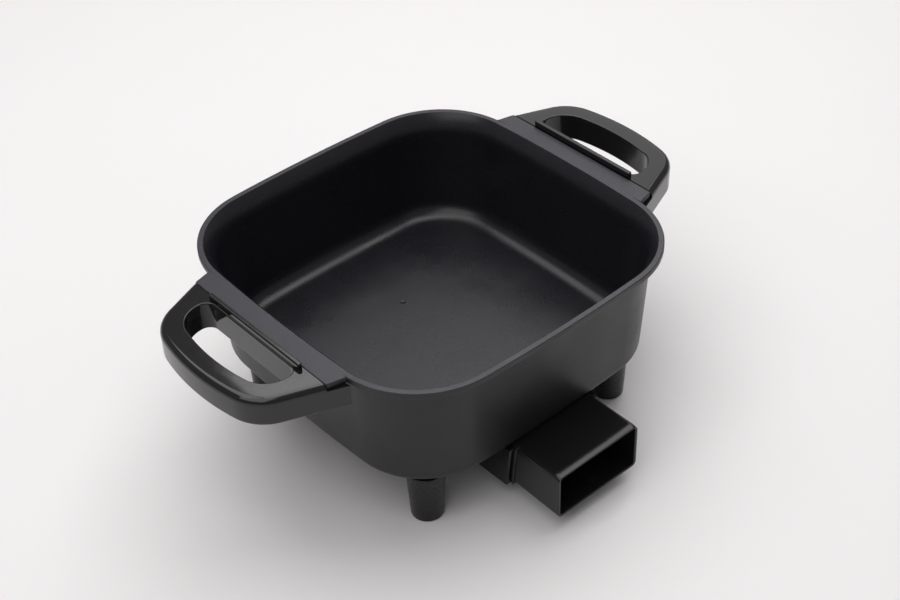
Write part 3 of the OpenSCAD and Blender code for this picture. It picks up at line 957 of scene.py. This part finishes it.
    def ledge(self) -> Shape:
        """Makes the right ledge, with its edges rounded as the rim's are.

        Returns:
            The solid.
        """
        root_x = self.rim_half - self.rim_flat / 2
        tip_y, root_y = self.ledge_l / 2, self.ledge_l / 2 + self.ledge_splay
        outline = Drawing((root_x, -root_y), ((self.ledge_x, -tip_y), (self.ledge_x, tip_y),
                                              (root_x, root_y), (root_x, -root_y)))
        shape = Shape.prism(outline, self.rim_z - self.ledge_t, self.rim_z)
        upright = shape.edges_where(lambda a, b: min(a.x, b.x) > self.ledge_x - TINY
                                    and abs(a.z - b.z) > 1)
        shape.round_off(upright, self.ledge_corner_r, 4)
        outer = shape.edges_where(lambda a, b: max(a.x, b.x) > root_x + 1 and abs(a.z - b.z) < TINY)
        return shape.round_off(outer, self.rim_edge_r, 4)

    def boss(self, radius: float, low: float, high: float) -> Shape:
        """Makes an upright boss that sinks into the casting at its top.

        Args:
            radius: The boss's radius.
            low: Height of its foot.
            high: Height at which it meets the casting.

        Returns:
            The solid.
        """
        core = radius - self.boss_edge
        return Shape.turned(Drawing((0, low), (
            (core, low), Arc((core, low + self.boss_edge), 90, 3), (radius, high + 1),
            (0, high + 1))), 40)

    def build(self, heating: Heating) -> bpy.types.Object:
        """Makes the casting.

        Args:
            heating: What is cast into its underside.

        Returns:
            The piece.
        """
        ledge = self.ledge()
        body = self.skin().combine(Combine.JOIN, ledge, ledge.mirrored())
        body.combine(Combine.CUT, self.hollow())
        bosses = ((self.handle_boss, HANDLE_SCREW_AT), (self.leg_boss, LEG_SCREW_AT))
        for _, side, end in on_corners():
            for size, (x, y) in bosses:
                body.take_in(self.boss(*size).move(side * x, end * y))
        x, y = GUARD_SCREW_AT
        for side in (-1, 1):
            body.take_in(self.boss(*self.guard_boss).move(side * x, y))
        body.take_in(heating.ridge(), heating.sleeve_block())
        return body.piece("pan_casting", PAN_COAT, "pan", lining=COOKING_COAT, lined=self.is_inside)

    def is_inside(self, face: BMFace) -> bool:
        """Tells whether a face lies on the inside of the pan.

        Args:
            face: A face of the casting, in millimetres.

        Returns:
            Whether it takes the coat of the cooking surface.
        """
        at = face.calc_center_median()
        inward = face.normal.x * at.x + face.normal.y * at.y < 0 or face.normal.z > 0.98
        return (inward and self.floor_z - 0.1 < at.z < self.rim_z - 0.05
                and max(abs(at.x), abs(at.y)) < self.rim_half - self.rim_flat)


# ---- Heating and sensing ----


@dataclass
class Heating:
    """The element, its terminals and the rod's sleeve. Each pair is a radius and a length."""

    sheath_r: float = 4.0
    ridge_wall: float = 2.5
    loop_half: float = 79.9
    bend_r: float = 36.0
    entry_r: float = 20.0
    sheath_end_y: float = -106.0
    drop: float = 10.0
    block_r: float = 7.7
    block_from: float = 46.8
    block_to: float = 105.0
    block_edge: float = 0.8
    stem: Point = (2.0, 22.5)
    pin: Point = (2.5, 33.0)
    pin_edge: float = 0.3
    stem_proud: float = 12.0
    collar: Point = (4.8, 4.0)
    collar_gap: float = 0.1
    collar_edge: float = 0.5
    sleeve: Point = (4.5, 68.0)
    sleeve_y: float = -50.0
    bore_r: float = 3.4
    bore_from: float = 1.1
    bore_edge: float = 0.35

    def sweep(self, shape: Shape, chain: list[BMEdge]) -> list[BMEdge]:
        """Sweeps a section along the left half of the loop.

        Args:
            shape: The shape that holds the section.
            chain: The section's edges, at the start of the first bend.

        Returns:
            The edges where the sweep ends, in the middle of the rear run.
        """
        mid = self.loop_half - self.bend_r
        entry = -TERMINAL_X - self.entry_r
        end = shape.swing(chain, (entry, -self.loop_half - self.entry_r), 90, 14)
        end = shape.pull(end, (-mid - entry, 0, 0))
        end = shape.swing(end, (-mid, -mid), -90, 20)
        end = shape.pull(end, (0, 2 * mid, 0))
        end = shape.swing(end, (-mid, mid), -90, 20)
        return shape.pull(end, (mid, 0, 0))

    def on_axis(self, x: float, y: float) -> Matrix:
        """Places a drawing of the XY plane across an axis at the height of the terminals."""
        return Matrix.Translation((x, y, TERMINAL_Z)) @ TIP_BACK

    def at_entry(self, y: float) -> Matrix:
        """Places a drawing of the XY plane across the left terminal's axis."""
        return self.on_axis(-TERMINAL_X, y)

    def channel(self, r: float) -> Drawing:
        """Draws the section of a round-bottomed block that reaches up into the casting.

        Args:
            r: Half its width, and the radius of its bottom.

        Returns:
            The closed section, with its round bottom towards -Y.
        """
        top = self.drop + 1
        return Drawing((-r, top), ((-r, 0), Arc((0, 0), 180, 20), (r, top), (-r, top)))

    def ridge(self) -> Shape:
        """Makes the round-bottomed ridge that the element is cast into.

        Returns:
            The solid.
        """
        shape = Shape()
        section = shape.draw(self.channel(self.sheath_r + self.ridge_wall))
        shape.transform(self.at_entry(-self.loop_half - self.entry_r))
        shape.fill(section)
        self.sweep(shape, section)
        return shape.take_in(shape.mirrored()).weld(0.01)

    def sleeve_block(self) -> Shape:
        """Makes the block that holds the sleeve against the underside.

        Returns:
            The solid.
        """
        shape = Shape.prism(self.channel(self.block_r), self.block_from, self.block_to)
        ends = shape.edges_where(lambda a, b: abs(a.z - b.z) < TINY)
        return shape.round_off(ends, self.block_edge, 3).transform(self.on_axis(0, 0))

    def build_element(self) -> None:
        """Makes the sheathed element, which ends in front of the ridge."""
        shape = Shape()
        section = shape.draw(Drawing((self.sheath_r, 0), (Arc((0, 0), 360, 28),)))
        shape.transform(self.at_entry(-self.loop_half - self.entry_r))
        front = shape.pull(section, (0, self.sheath_end_y + self.loop_half + self.entry_r, 0))
        shape.fill(front)
        self.sweep(shape, section)
        shape.take_in(shape.mirrored())
        shape.weld(0.01).piece("element_sheath", SHEATH, "heating_element")

    def build_terminals(self) -> None:
        """Makes both terminal pins and their insulators."""
        (stem_r, stem_l), (pin_r, pin_l), (collar_r, collar_l) = self.stem, self.pin, self.collar
        e, hole_r = self.collar_edge, stem_r + self.collar_gap
        pin = Drawing((0, 0), ((stem_r, 0), (stem_r, stem_l), (pin_r - self.pin_edge, stem_l),
                               (pin_r, stem_l + self.pin_edge), (pin_r, stem_l + pin_l),
                               Arc((0, stem_l + pin_l), 90, 10)))
        collar = Drawing((hole_r, 0), (
            (collar_r - e, 0), Arc((collar_r - e, e), 90, 3), (collar_r, collar_l - e),
            Arc((collar_r - e, collar_l - e), 90, 3), (hole_r, collar_l), (hole_r, 0)))
        end = self.at_entry(self.sheath_end_y)
        root = self.at_entry(self.sheath_end_y + self.stem_proud)
        for name, side in (("left", 1), ("right", -1)):
            flip = Matrix.Diagonal((side, 1, 1, 1))
            Shape.turned(pin, 32).transform(flip @ root).piece(
                f"contact_pin_{name}", PIN_STEEL, f"terminal_pin_{name}")
            Shape.turned(collar, 40, closed=True).transform(flip @ end).piece(
                f"pin_insulator_{name}", INSULATOR, f"terminal_insulator_{name}")

    def build_sleeve(self) -> None:
        """Makes the blind tube for the control's rod."""
        (r, length), bore, edge = self.sleeve, self.bore_r, self.bore_edge
        tube = Drawing((0, self.bore_from), (
            (bore, self.bore_from), (bore, length - edge), (bore + edge, length),
            (r - edge, length), (r, length - edge), (r, edge), (r - edge, 0), (0, 0)))
        Shape.turned(tube, 40).transform(self.on_axis(0, self.sleeve_y)).piece(
            "rod_sleeve", PIN_STEEL, "sensor_sleeve")


# ---- Fasteners ----


@dataclass(frozen=True)
class Screw:
    """A pan-headed screw that points up, with its seat at the origin.

    Attributes:
        shank_r: Radius of the shank.
        shank_l: Length of the shank.
    """

    shank_r: float
    shank_l: float

    def shape(self) -> Shape:
        """Makes the screw, with a cross recess in its head.

        Returns:
            The screw.
        """
        r, h, tip = 1.85 * self.shank_r, 1.3 * self.shank_r, 0.7
        dome = ((0.45, 0.97), (0.72, 0.86), (0.92, 0.62), (1.0, 0.32), (1.0, 0.0))
        body = Shape.turned(Drawing((0, -h), (
            *((share * r, -drop * h) for share, drop in dome), (self.shank_r, 0),
            (self.shank_r, self.shank_l - 1), (self.shank_r - tip, self.shank_l),
            (0, self.shank_l))), 40)
        for x, y in ((r / 2, 0.11 * r), (0.11 * r, r / 2)):
            body.combine(Combine.CUT, Shape.block((-x, -y, -h - 1), (x, y, -0.4 * h)))
        return body


@dataclass(frozen=True)
class Washer:
    """A flat washer with its lower face at z = 0."""

    outer_r: float = 5.2
    inner_r: float = 2.8
    thickness: float = 1.0
    blunt: float = 0.15

    def shape(self) -> Shape:
        """Makes the washer with blunted edges.

        Returns:
            The washer.
        """
        e, inner, outer, top = self.blunt, self.inner_r, self.outer_r, self.thickness
        return Shape.turned(Drawing((inner, e), (
            (inner + e, 0), (outer - e, 0), (outer, e), (outer, top - e), (outer - e, top),
            (inner + e, top), (inner, top - e), (inner, e))), 48, closed=True)


# ---- Handles ----


@dataclass
class LoopHandle:
    """A loop handle: a bowed grip between two arms, and an inner bar with a rib on it."""

    pan: PanCasting
    reach: float = 205.8
    bow_r: float = 187.0
    corner_r: float = 33.4
    corner_span: float = 64.0
    arm_out: float = 1.7
    height: float = 22.0
    grip_w: float = 16.5
    finger_l: float = 100.0
    finger_in_r: float = 7.5
    finger_out_r: float = 21.0
    inner_bar_w: float = 4.8
    top_r: float = 5.1
    crown_w: float = 11.5
    crown_tilt: float = 1.5
    bottom_r: float = 2.3
    finger_edge_r: float = 1.0
    rib_h: float = 4.6
    rib_l: float = 101.0
    rib_edge: float = 1.3
    gap: float = 0.5
    seat_z: float = 126.0
    head_hole_r: float = 4.925
    boss_hole_r: float = 5.3
    boss_hole_z: float = 130.7

    @property
    def bow_x(self) -> float:
        """Where the centre of the bowed edges stands."""
        return self.reach - self.bow_r

    @property
    def low_z(self) -> float:
        """Height of the handle's lower face."""
        return self.pan.rim_z - self.height

    def outline(self, inset: float) -> Drawing:
        """Draws the outer edge, from the front arm's root round the grip to the rear one's.

        Args:
            inset: Distance inside the handle's widest outline.

        Returns:
            The closed drawing.
        """
        span = self.corner_span / 2
        corner_reach = self.bow_r - self.corner_r
        bow = degrees(asin(span / corner_reach))
        corner = Vector((self.bow_x + polar(corner_reach, bow)[0], span))
        way = Vector((self.pan.ledge_x, self.pan.ledge_l / 2 + self.arm_out)) - corner
        arm = degrees(atan2(way.y, way.x) - acos(self.corner_r / way.length))
        out = Vector(polar(1, arm))
        root_x, radius = self.pan.wall_foot - 2, self.corner_r - inset
        root_y = (out.dot(corner) + radius - out.x * root_x) / out.y
        touch = corner + radius * out
        return Drawing((root_x, -root_y), (
            (touch.x, -touch.y), Arc((corner.x, -corner.y), arm - bow, 14),
            Arc((self.bow_x, 0), 2 * bow, 28), Arc((corner.x, corner.y), arm - bow, 14),
            (root_x, root_y), (root_x, -root_y)))

    def opening(self, grow: float) -> Drawing:
        """Draws the finger opening, moved out by a distance.

        Args:
            grow: The distance.

        Returns:
            The closed drawing.
        """
        bow_r = self.bow_r - self.grip_w
        half = self.finger_l / 2
        reach = bow_r - self.finger_out_r
        turn = degrees(asin((half - self.finger_out_r) / reach))
        outer_x, outer_y = self.bow_x + polar(reach, turn)[0], half - self.finger_out_r
        edge_x = self.pan.ledge_x + self.gap + self.inner_bar_w
        inner_x, inner_y = edge_x + self.finger_in_r, half - self.finger_in_r
        x, y = polar(bow_r + grow, -turn)
        return Drawing((self.bow_x + x, y), (
            Arc((self.bow_x, 0), 2 * turn, 28), Arc((outer_x, outer_y), 90 - turn, 14),
            (inner_x, half + grow), Arc((inner_x, inner_y), 90, 12),
            (edge_x - grow, -inner_y), Arc((inner_x, -inner_y), 90, 12),
            (outer_x, -half - grow), Arc((outer_x, -outer_y), 90 - turn, 14)))

    def opening_tool(self) -> Shape:
        """Makes the solid that cuts the finger opening and rounds its edges.

        Returns:
            The solid.
        """
        foot, top, edge_r = self.low_z, self.pan.rim_z, self.finger_edge_r
        edge = [(edge_r * (1 - cosine), edge_r * (1 - sine)) for sine, cosine in turns(6)]
        levels = [(foot - 3, edge_r), *((foot + rise, grow) for rise, grow in edge),
                  *((top - rise, grow) for rise, grow in reversed(edge)), (top + 3, edge_r)]
        return Shape.loft(*((self.opening(grow), z) for z, grow in levels))

    def bores(self) -> list[Shape]:
        """Makes the tools that cut the screw holes and the boss recesses.

        Returns:
            The front tool and the rear one.
        """
        profile = stepped(self.low_z - 3, (self.head_hole_r, self.seat_z),
                          (SHANK_HOLE_R, self.boss_hole_z), (self.boss_hole_r, self.pan.rim_z - 3))
        x, y = HANDLE_SCREW_AT
        return [Shape.turned(profile, 40).move(x, end * y) for end in (-1, 1)]

    def rib(self) -> Shape:
        """Makes the round-ended rib on the inner bar.

        Returns:
            The solid.
        """
        r = (self.inner_bar_w - self.finger_edge_r) / 2
        top = self.pan.rim_z + self.rib_h
        half = self.rib_l / 2
        shape = Shape.prism(rounded_box(r, -half, half, r - TINY, 12), self.pan.rim_z - 1, top)
        shape.weld(0.01)
        upper = shape.edges_where(lambda a, b: min(a.z, b.z) > top - TINY)
        shape.round_off(upper, self.rib_edge, 5)
        return shape.move(x=self.pan.ledge_x + self.gap + r)

    def levels(self) -> list[Point]:
        """Lists inset and height up the outside: round foot, round shoulder, low crown.

        Returns:
            Inset and height of each level, from the foot.
        """
        foot_r, top_r, top_z = self.bottom_r, self.top_r, self.pan.rim_z
        tilt = radians(self.crown_tilt)
        crown = self.crown_w - top_r * (1 - sin(tilt))
        crown_h = crown * tan(tilt) / 2
        shoulder_z = top_z - crown_h - top_r * cos(tilt)
        return [*((foot_r * (1 - sine), self.low_z + foot_r * (1 - cosine))
                  for sine, cosine in turns(6)),
                *((top_r * (1 - cosine), shoulder_z + top_r * sine)
                  for sine, cosine in turns(9, pi / 2 - tilt)),
                *((self.crown_w - crown * (1 - i / 5), top_z - crown_h * (1 - i / 5) ** 2)
                  for i in range(1, 6))]

    def shape(self) -> Shape:
        """Makes the right handle.

        Returns:
            The solid.
        """
        pan, gap = self.pan, self.gap
        body = Shape.loft(*((self.outline(inset), z) for inset, z in self.levels()))
        room = Shape.block((0, -self.reach, pan.rim_z - pan.ledge_t),
                           (pan.ledge_x + gap, self.reach, pan.rim_z + 5))
        lip = Shape.prism(pan.outline(-gap, pan.rim_corner_r + gap), self.low_z - 3, pan.rim_z + 3)
        body.combine(Combine.CUT, self.opening_tool(), lip, room, *self.bores())
        return body.take_in(self.rib())

    def build(self) -> None:
        """Makes both handles and their screws."""
        right = self.shape()
        right.mirrored().piece("loop_handle_left", HANDLE_BLACK, "handle_left")
        right.piece("loop_handle_right", HANDLE_BLACK, "handle_right")
        screw = Screw(2.5, 15.0).shape()
        x, y = HANDLE_SCREW_AT
        for name, side, end in on_corners():
            screw.copy().move(side * x, end * y, self.seat_z).piece(
                f"grip_screw_{name}", SCREW_STEEL, f"handle_screw_{name}")


# ---- Legs ----


@dataclass
class Legs:
    """Four tapered post legs with rounded feet, and what holds them on."""

    top_r: float = 14.2
    top_edge_r: float = 1.0
    foot_r: float = 12.0
    foot_edge_r: float = 1.4
    top_z: float = 43.0
    seat_z: float = 26.0
    hole_r: float = 5.5
    hole_edge: float = 0.4
    boss_hole_r: float = 6.3
    boss_hole_edge: float = 0.2
    boss_hole_z: float = 40.0

    def profile(self) -> Drawing:
        """Draws half the section of a leg, with its screw hole and the recess for the boss.

        Returns:
            The closed drawing, with radius and height.
        """
        foot, top_edge = self.foot_r - self.foot_edge_r, self.top_z - self.top_edge_r
        return Drawing((self.hole_r, self.hole_edge), (
            (self.hole_r + self.hole_edge, 0), (foot, 0), Arc((foot, self.foot_edge_r), 90, 12),
            (self.top_r, top_edge), Arc((self.top_r - self.top_edge_r, top_edge), 90, 4),
            (self.boss_hole_r + self.boss_hole_edge, self.top_z),
            (self.boss_hole_r, self.top_z - self.boss_hole_edge),
            (self.boss_hole_r, self.boss_hole_z), (SHANK_HOLE_R, self.boss_hole_z),
            (SHANK_HOLE_R, self.seat_z), (self.hole_r, self.seat_z),
            (self.hole_r, self.hole_edge)))

    def build(self) -> None:
        """Makes the legs, their washers and their screws."""
        leg = Shape.turned(self.profile(), 72, closed=True)
        washer, screw = Washer().shape(), Screw(2.5, 26.0).shape()
        head_z = self.seat_z - Washer.thickness
        for name, side, end in on_corners():
            x, y = side * LEG_SCREW_AT[0], end * LEG_SCREW_AT[1]
            leg.copy().move(x, y).piece(f"post_leg_{name}", LEG_BLACK, f"leg_{name}")
            for part, made, node in (("flat_washer", washer, "leg_washer"),
                                     ("post_screw", screw, "leg_screw")):
                made.copy().move(x, y, head_z).piece(f"{part}_{name}", SCREW_STEEL,
                                                     f"{node}_{name}")


# ---- Probe guard ----


@dataclass
class ProbeGuard:
    """The socket tube on its base block, with a bead and a groove between the two."""

    reach: float = 172.0
    tube_w: float = 77.6
    tube_top_z: float = 51.9
    wall_t: float = 2.2
    tube_corner_r: float = 4.1
    dip_r: float = 22.0
    dip_angle: float = 18.0
    low_z: float = 12.9
    floor_rise: float = 1.7
    base_top_z: float = 48.7
    tube_back_y: float = -125.76
    base_w: float = 85.0
    base_front_y: float = -124.5
    base_back_y: float = -88.0
    partition_front_y: float = -115.5
    partition_y: float = -113.0
    lean: float = 6.0
    groove_w: float = 1.3
    groove_out: float = 0.3
    bead_t: float = 1.7
    bead_out: float = 1.1
    bead_top_z: float = 51.6
    seat_z: float = 18.4
    post: Point = (5.0, 42.0)
    head_hole_r: float = 4.0
    screw_hole_r: float = 2.3
    pin_hole_r: float = 3.1
    rod_hole_r: float = 4.8

    def floor(self, y: float) -> float:
        """Height of the tube's outer floor at a station, which rises towards the pan."""
        return self.low_z + self.floor_rise * (y + self.reach) / (self.base_front_y + self.reach)

    def tube(self, shrink: float, *sections: tuple[float, float, float]) -> Shape:
        """Makes a round-cornered form along the tube.

        Args:
            shrink: Distance inside the tube's outer faces.
            sections: The sections from the front: station, height of the outer top, and growth.

        Returns:
            The solid.
        """
        r = max(self.tube_corner_r - shrink, 1.0)
        return Shape.loft(*(
            (rounded_box(self.tube_w / 2 - shrink + grow, self.floor(y) + shrink - grow,
                         top_z - shrink + grow, r + grow), -y) for y, top_z, grow in sections
        )).transform(TIP_BACK)

    def hollow(self, lead_in: float = 0.5, steps: int = 3) -> Shape:
        """Makes the space in the tube, with a rounded mouth and a lower roof under the pan.

        Args:
            lead_in: Radius of the rounding around the mouth's inner edge.
            steps: The number of bands across that rounding.

        Returns:
            The solid.
        """
        step_y, high, low = self.tube_back_y - self.wall_t, self.tube_top_z, self.base_top_z
        rounding = [(lead_in * sine - self.reach, high, lead_in * (1 - sine))
                    for sine, _ in turns(steps)]
        return self.tube(self.wall_t, (-self.reach - 2, high, lead_in), *rounding,
                         (step_y, high, 0), (step_y + 0.5, low, 0),
                         (self.partition_front_y, low, 0))

    def slab(self, width: float, foot_z: float, top_z: float, front_y: float, back_y: float,
             leans_back: bool, edge: float, segments: int) -> Shape:
        """Makes a slab across the tube, with a front that leans forward.

        Args:
            width: Its width.
            foot_z: Height of its foot.
            top_z: Height of its top.
            front_y: Its front, at the foot of the base.
            back_y: Its back, at the foot of the base.
            leans_back: Whether the back leans with the front.
            edge: Width of the rounding along its front.
            segments: The number of bands across that rounding.

        Returns:
            The solid.
        """
        def leaning(y: float, z: float) -> float:
            """Moves a station at the foot of the base along the lean to a height."""
            return y - (z - self.low_z) * tan(radians(self.lean))

        back = [(leaning(back_y, z) if leans_back else back_y, z) for z in (foot_z, top_z)]
        start = (leaning(front_y, foot_z), foot_z)
        side = Drawing(start, (*back, (leaning(front_y, top_z), top_z), start))
        shape = Shape.prism(side, -width / 2, width / 2)
        shape.transform(Matrix.Rotation(pi / 2, 4, "Z") @ TIP_BACK)
        front = shape.edges_where(
            lambda a, b: all(v.y < leaning(front_y, v.z) + TINY for v in (a, b)))
        return shape.round_off(front, edge, segments)

    def build(self) -> None:
        """Makes the guard and its screws."""
        groove_y = self.base_front_y - self.groove_w
        foot_z = self.low_z + self.floor_rise - self.groove_out
        dip = [(self.dip_r * sine, self.dip_r * (1 - cosine))
               for sine, cosine in reversed(turns(5, radians(self.dip_angle))[1:])]
        dip_y, top_z = dip[0][0] - self.reach, self.tube_top_z
        body = self.tube(0, *((dip_y - at, top_z - drop, 0) for at, drop in dip),
                         (dip_y, top_z, 0), (self.tube_back_y, top_z, 0))
        body.round_off(body.edges_where(lambda a, b: max(a.y, b.y) < TINY - self.reach), 0.4, 4)
        body.combine(Combine.JOIN,
                     self.slab(self.base_w, self.low_z, self.base_top_z, self.base_front_y,
                               self.base_back_y, False, 1.6, 6),
                     self.slab(self.tube_w + 2 * self.groove_out, foot_z, self.base_top_z, groove_y,
                               self.base_back_y, False, 0.2, 2),
                     self.slab(self.tube_w + 2 * self.bead_out, foot_z, self.bead_top_z,
                               groove_y - self.bead_t, groove_y, True, 0.8, 5))
        half = self.base_w / 2 - self.wall_t
        chamber = Shape.block((-half, self.partition_y, self.low_z + self.wall_t),
                              (half, self.base_back_y + 3, self.base_top_z + 5))
        body.combine(Combine.CUT, self.hollow(), chamber)
        screw_x, screw_y = GUARD_SCREW_AT
        post = stepped(self.low_z, self.post)
        bore = stepped(self.low_z - 2, (self.head_hole_r, self.seat_z),
                       (self.screw_hole_r, self.post[1] + 2))
        body.combine(Combine.JOIN, *(Shape.turned(post, 40).move(side * screw_x, screw_y)
                                     for side in (-1, 1)))
        holes = [Shape.turned(bore, 36).move(side * screw_x, screw_y) for side in (-1, 1)]
        for x, r in ((-TERMINAL_X, self.pin_hole_r), (0.0, self.rod_hole_r),
                     (TERMINAL_X, self.pin_hole_r)):
            hole = Shape.turned(stepped(0, (r, 6)), 36).transform(TIP_BACK)
            holes.append(hole.move(x, self.partition_y + 2, TERMINAL_Z))
        body.combine(Combine.CUT, *holes)
        body.piece("socket_guard", GUARD_BLACK, "probe_guard")
        screw = Screw(2.0, 32.6).shape()
        for name, side in (("left", -1), ("right", 1)):
            screw.copy().move(side * screw_x, screw_y, self.seat_z).piece(
                f"socket_screw_{name}", SCREW_STEEL, f"guard_screw_{name}")


# ---- Studio ----

LAMPS_FACE = Vector((0, 0.016, 0.08))


@dataclass(frozen=True)
class SoftLamp:
    """A square soft lamp that faces the pan.

    Attributes:
        name: Its name.
        azimuth: Its direction from the pan, in degrees from -Y towards +X.
        elevation: Its height above the horizon in degrees.
        distance: Its distance from the pan in metres.
        size: Its width and height in metres.
        power: Its power in watts.
        aside: How far it is moved sideways in its own plane, in metres.
    """

    name: str
    azimuth: float
    elevation: float
    distance: float
    size: Point
    power: float
    aside: float = 0.0

    def build(self) -> None:
        """Hangs the lamp."""
        lamp = bpy.data.lights.new(self.name, "AREA")
        lamp.shape, lamp.size, lamp.size_y = "RECTANGLE", *self.size
        lamp.energy = self.power
        back = direction(self.azimuth, self.elevation)
        place_object(self.name, lamp, Matrix.Translation(LAMPS_FACE + self.distance * back)
                     @ back.to_track_quat("Z", "Y").to_matrix().to_4x4()
                     @ Matrix.Translation((self.aside, 0, 0)))


def direction(azimuth: float, elevation: float) -> Vector:
    """Returns the unit vector at an azimuth, from -Y towards +X, and an elevation, in degrees."""
    a, e = radians(azimuth), radians(elevation)
    return Vector((sin(a) * cos(e), -cos(a) * cos(e), sin(e)))


@dataclass
class Studio:
    """The pale table, the light and the camera."""

    table_colour: Colour = (0.80, 0.778, 0.782)
    table_half: float = 6.0
    world_strength: float = 0.26
    camera_azimuth: float = -40.313
    camera_elevation: float = 39.276
    camera_roll: float = -2.245
    camera_distance: float = 1.2332
    target: Vector = field(default_factory=lambda: Vector((0.03195, 0.03367, 0.056)))
    lens: float = 64.564
    lamps: tuple[SoftLamp, ...] = (
        SoftLamp("overhead_box", 145, 72, 1.7, (1.3, 1.8), 20, -0.37),
        SoftLamp("overhead_wing", 145, 72, 1.7, (0.9, 1.3), 7.5, 0.75),
        SoftLamp("rear_card", 126, 28, 2.6, (1.6, 1.1), 4.5),
        SoftLamp("front_box", -75, 58, 2.6, (2.2, 2.2), 24),
    )

    def table(self) -> None:
        """Lays the pale table top."""
        shape = Shape()
        bmesh.ops.create_grid(shape.bm, x_segments=1, y_segments=1, size=self.table_half)
        mesh = bpy.data.meshes.new("table_top")
        shape.bm.to_mesh(mesh)
        top = place_object("table_top", mesh)
        g = Graph("table_paper")
        lighter = tuple(1.02 * c for c in self.table_colour)
        top.data.materials.append(g.finish(
            Base_Color=g.blend(g.noise(3, 2), self.table_colour, lighter), Roughness=0.7,
            Specular_IOR_Level=0.2, Normal=g.bump(g.noise(900, 2), 0.00002)))

    def world(self) -> None:
        """Sets the even light from all round, which shows as a pale wall."""
        world = bpy.data.worlds.new("studio")
        world.use_nodes = True
        glow = world.node_tree.nodes["Background"].inputs
        glow["Color"].default_value = (1.0, 0.995, 0.99, 1)
        glow["Strength"].default_value = self.world_strength
        bpy.context.scene.world = world

    def camera(self) -> None:
        """Sets up the camera."""
        lens = bpy.data.cameras.new("camera")
        lens.lens, lens.sensor_width, lens.clip_start, lens.clip_end = self.lens, 36.0, 0.05, 50.0
        back = direction(self.camera_azimuth, self.camera_elevation)
        right = Vector((0, 0, 1)).cross(back).normalized()
        level = Matrix((right, back.cross(right), back)).transposed().to_4x4()
        roll = Matrix.Rotation(radians(self.camera_roll), 4, "Z")
        place = Matrix.Translation(self.target + self.camera_distance * back) @ level @ roll
        bpy.context.scene.camera = place_object("camera", lens, place)

    def build(self) -> None:
        """Sets up the studio."""
        self.table()
        self.world()
        self.camera()
        for lamp in self.lamps:
            lamp.build()
        bpy.context.scene.view_settings.view_transform = "Standard"


# ---- Making ----


def corners(box: tuple[Vector, Vector]) -> list[list[float]]:
    """Returns a box's two corners as plain lists."""
    return [list(corner) for corner in box]


def main() -> None:
    """Loads the model, makes the pieces in order, and sets up the studio."""
    logging.basicConfig(level=logging.INFO, format="%(name)s: %(message)s")
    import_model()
    pan, heating = PanCasting(), Heating()
    pan.build(heating)
    heating.build_element()
    heating.build_terminals()
    heating.build_sleeve()
    LoopHandle(pan).build()
    Legs().build()
    ProbeGuard().build()
    Studio().build()


if __name__ == "__main__":
    main()
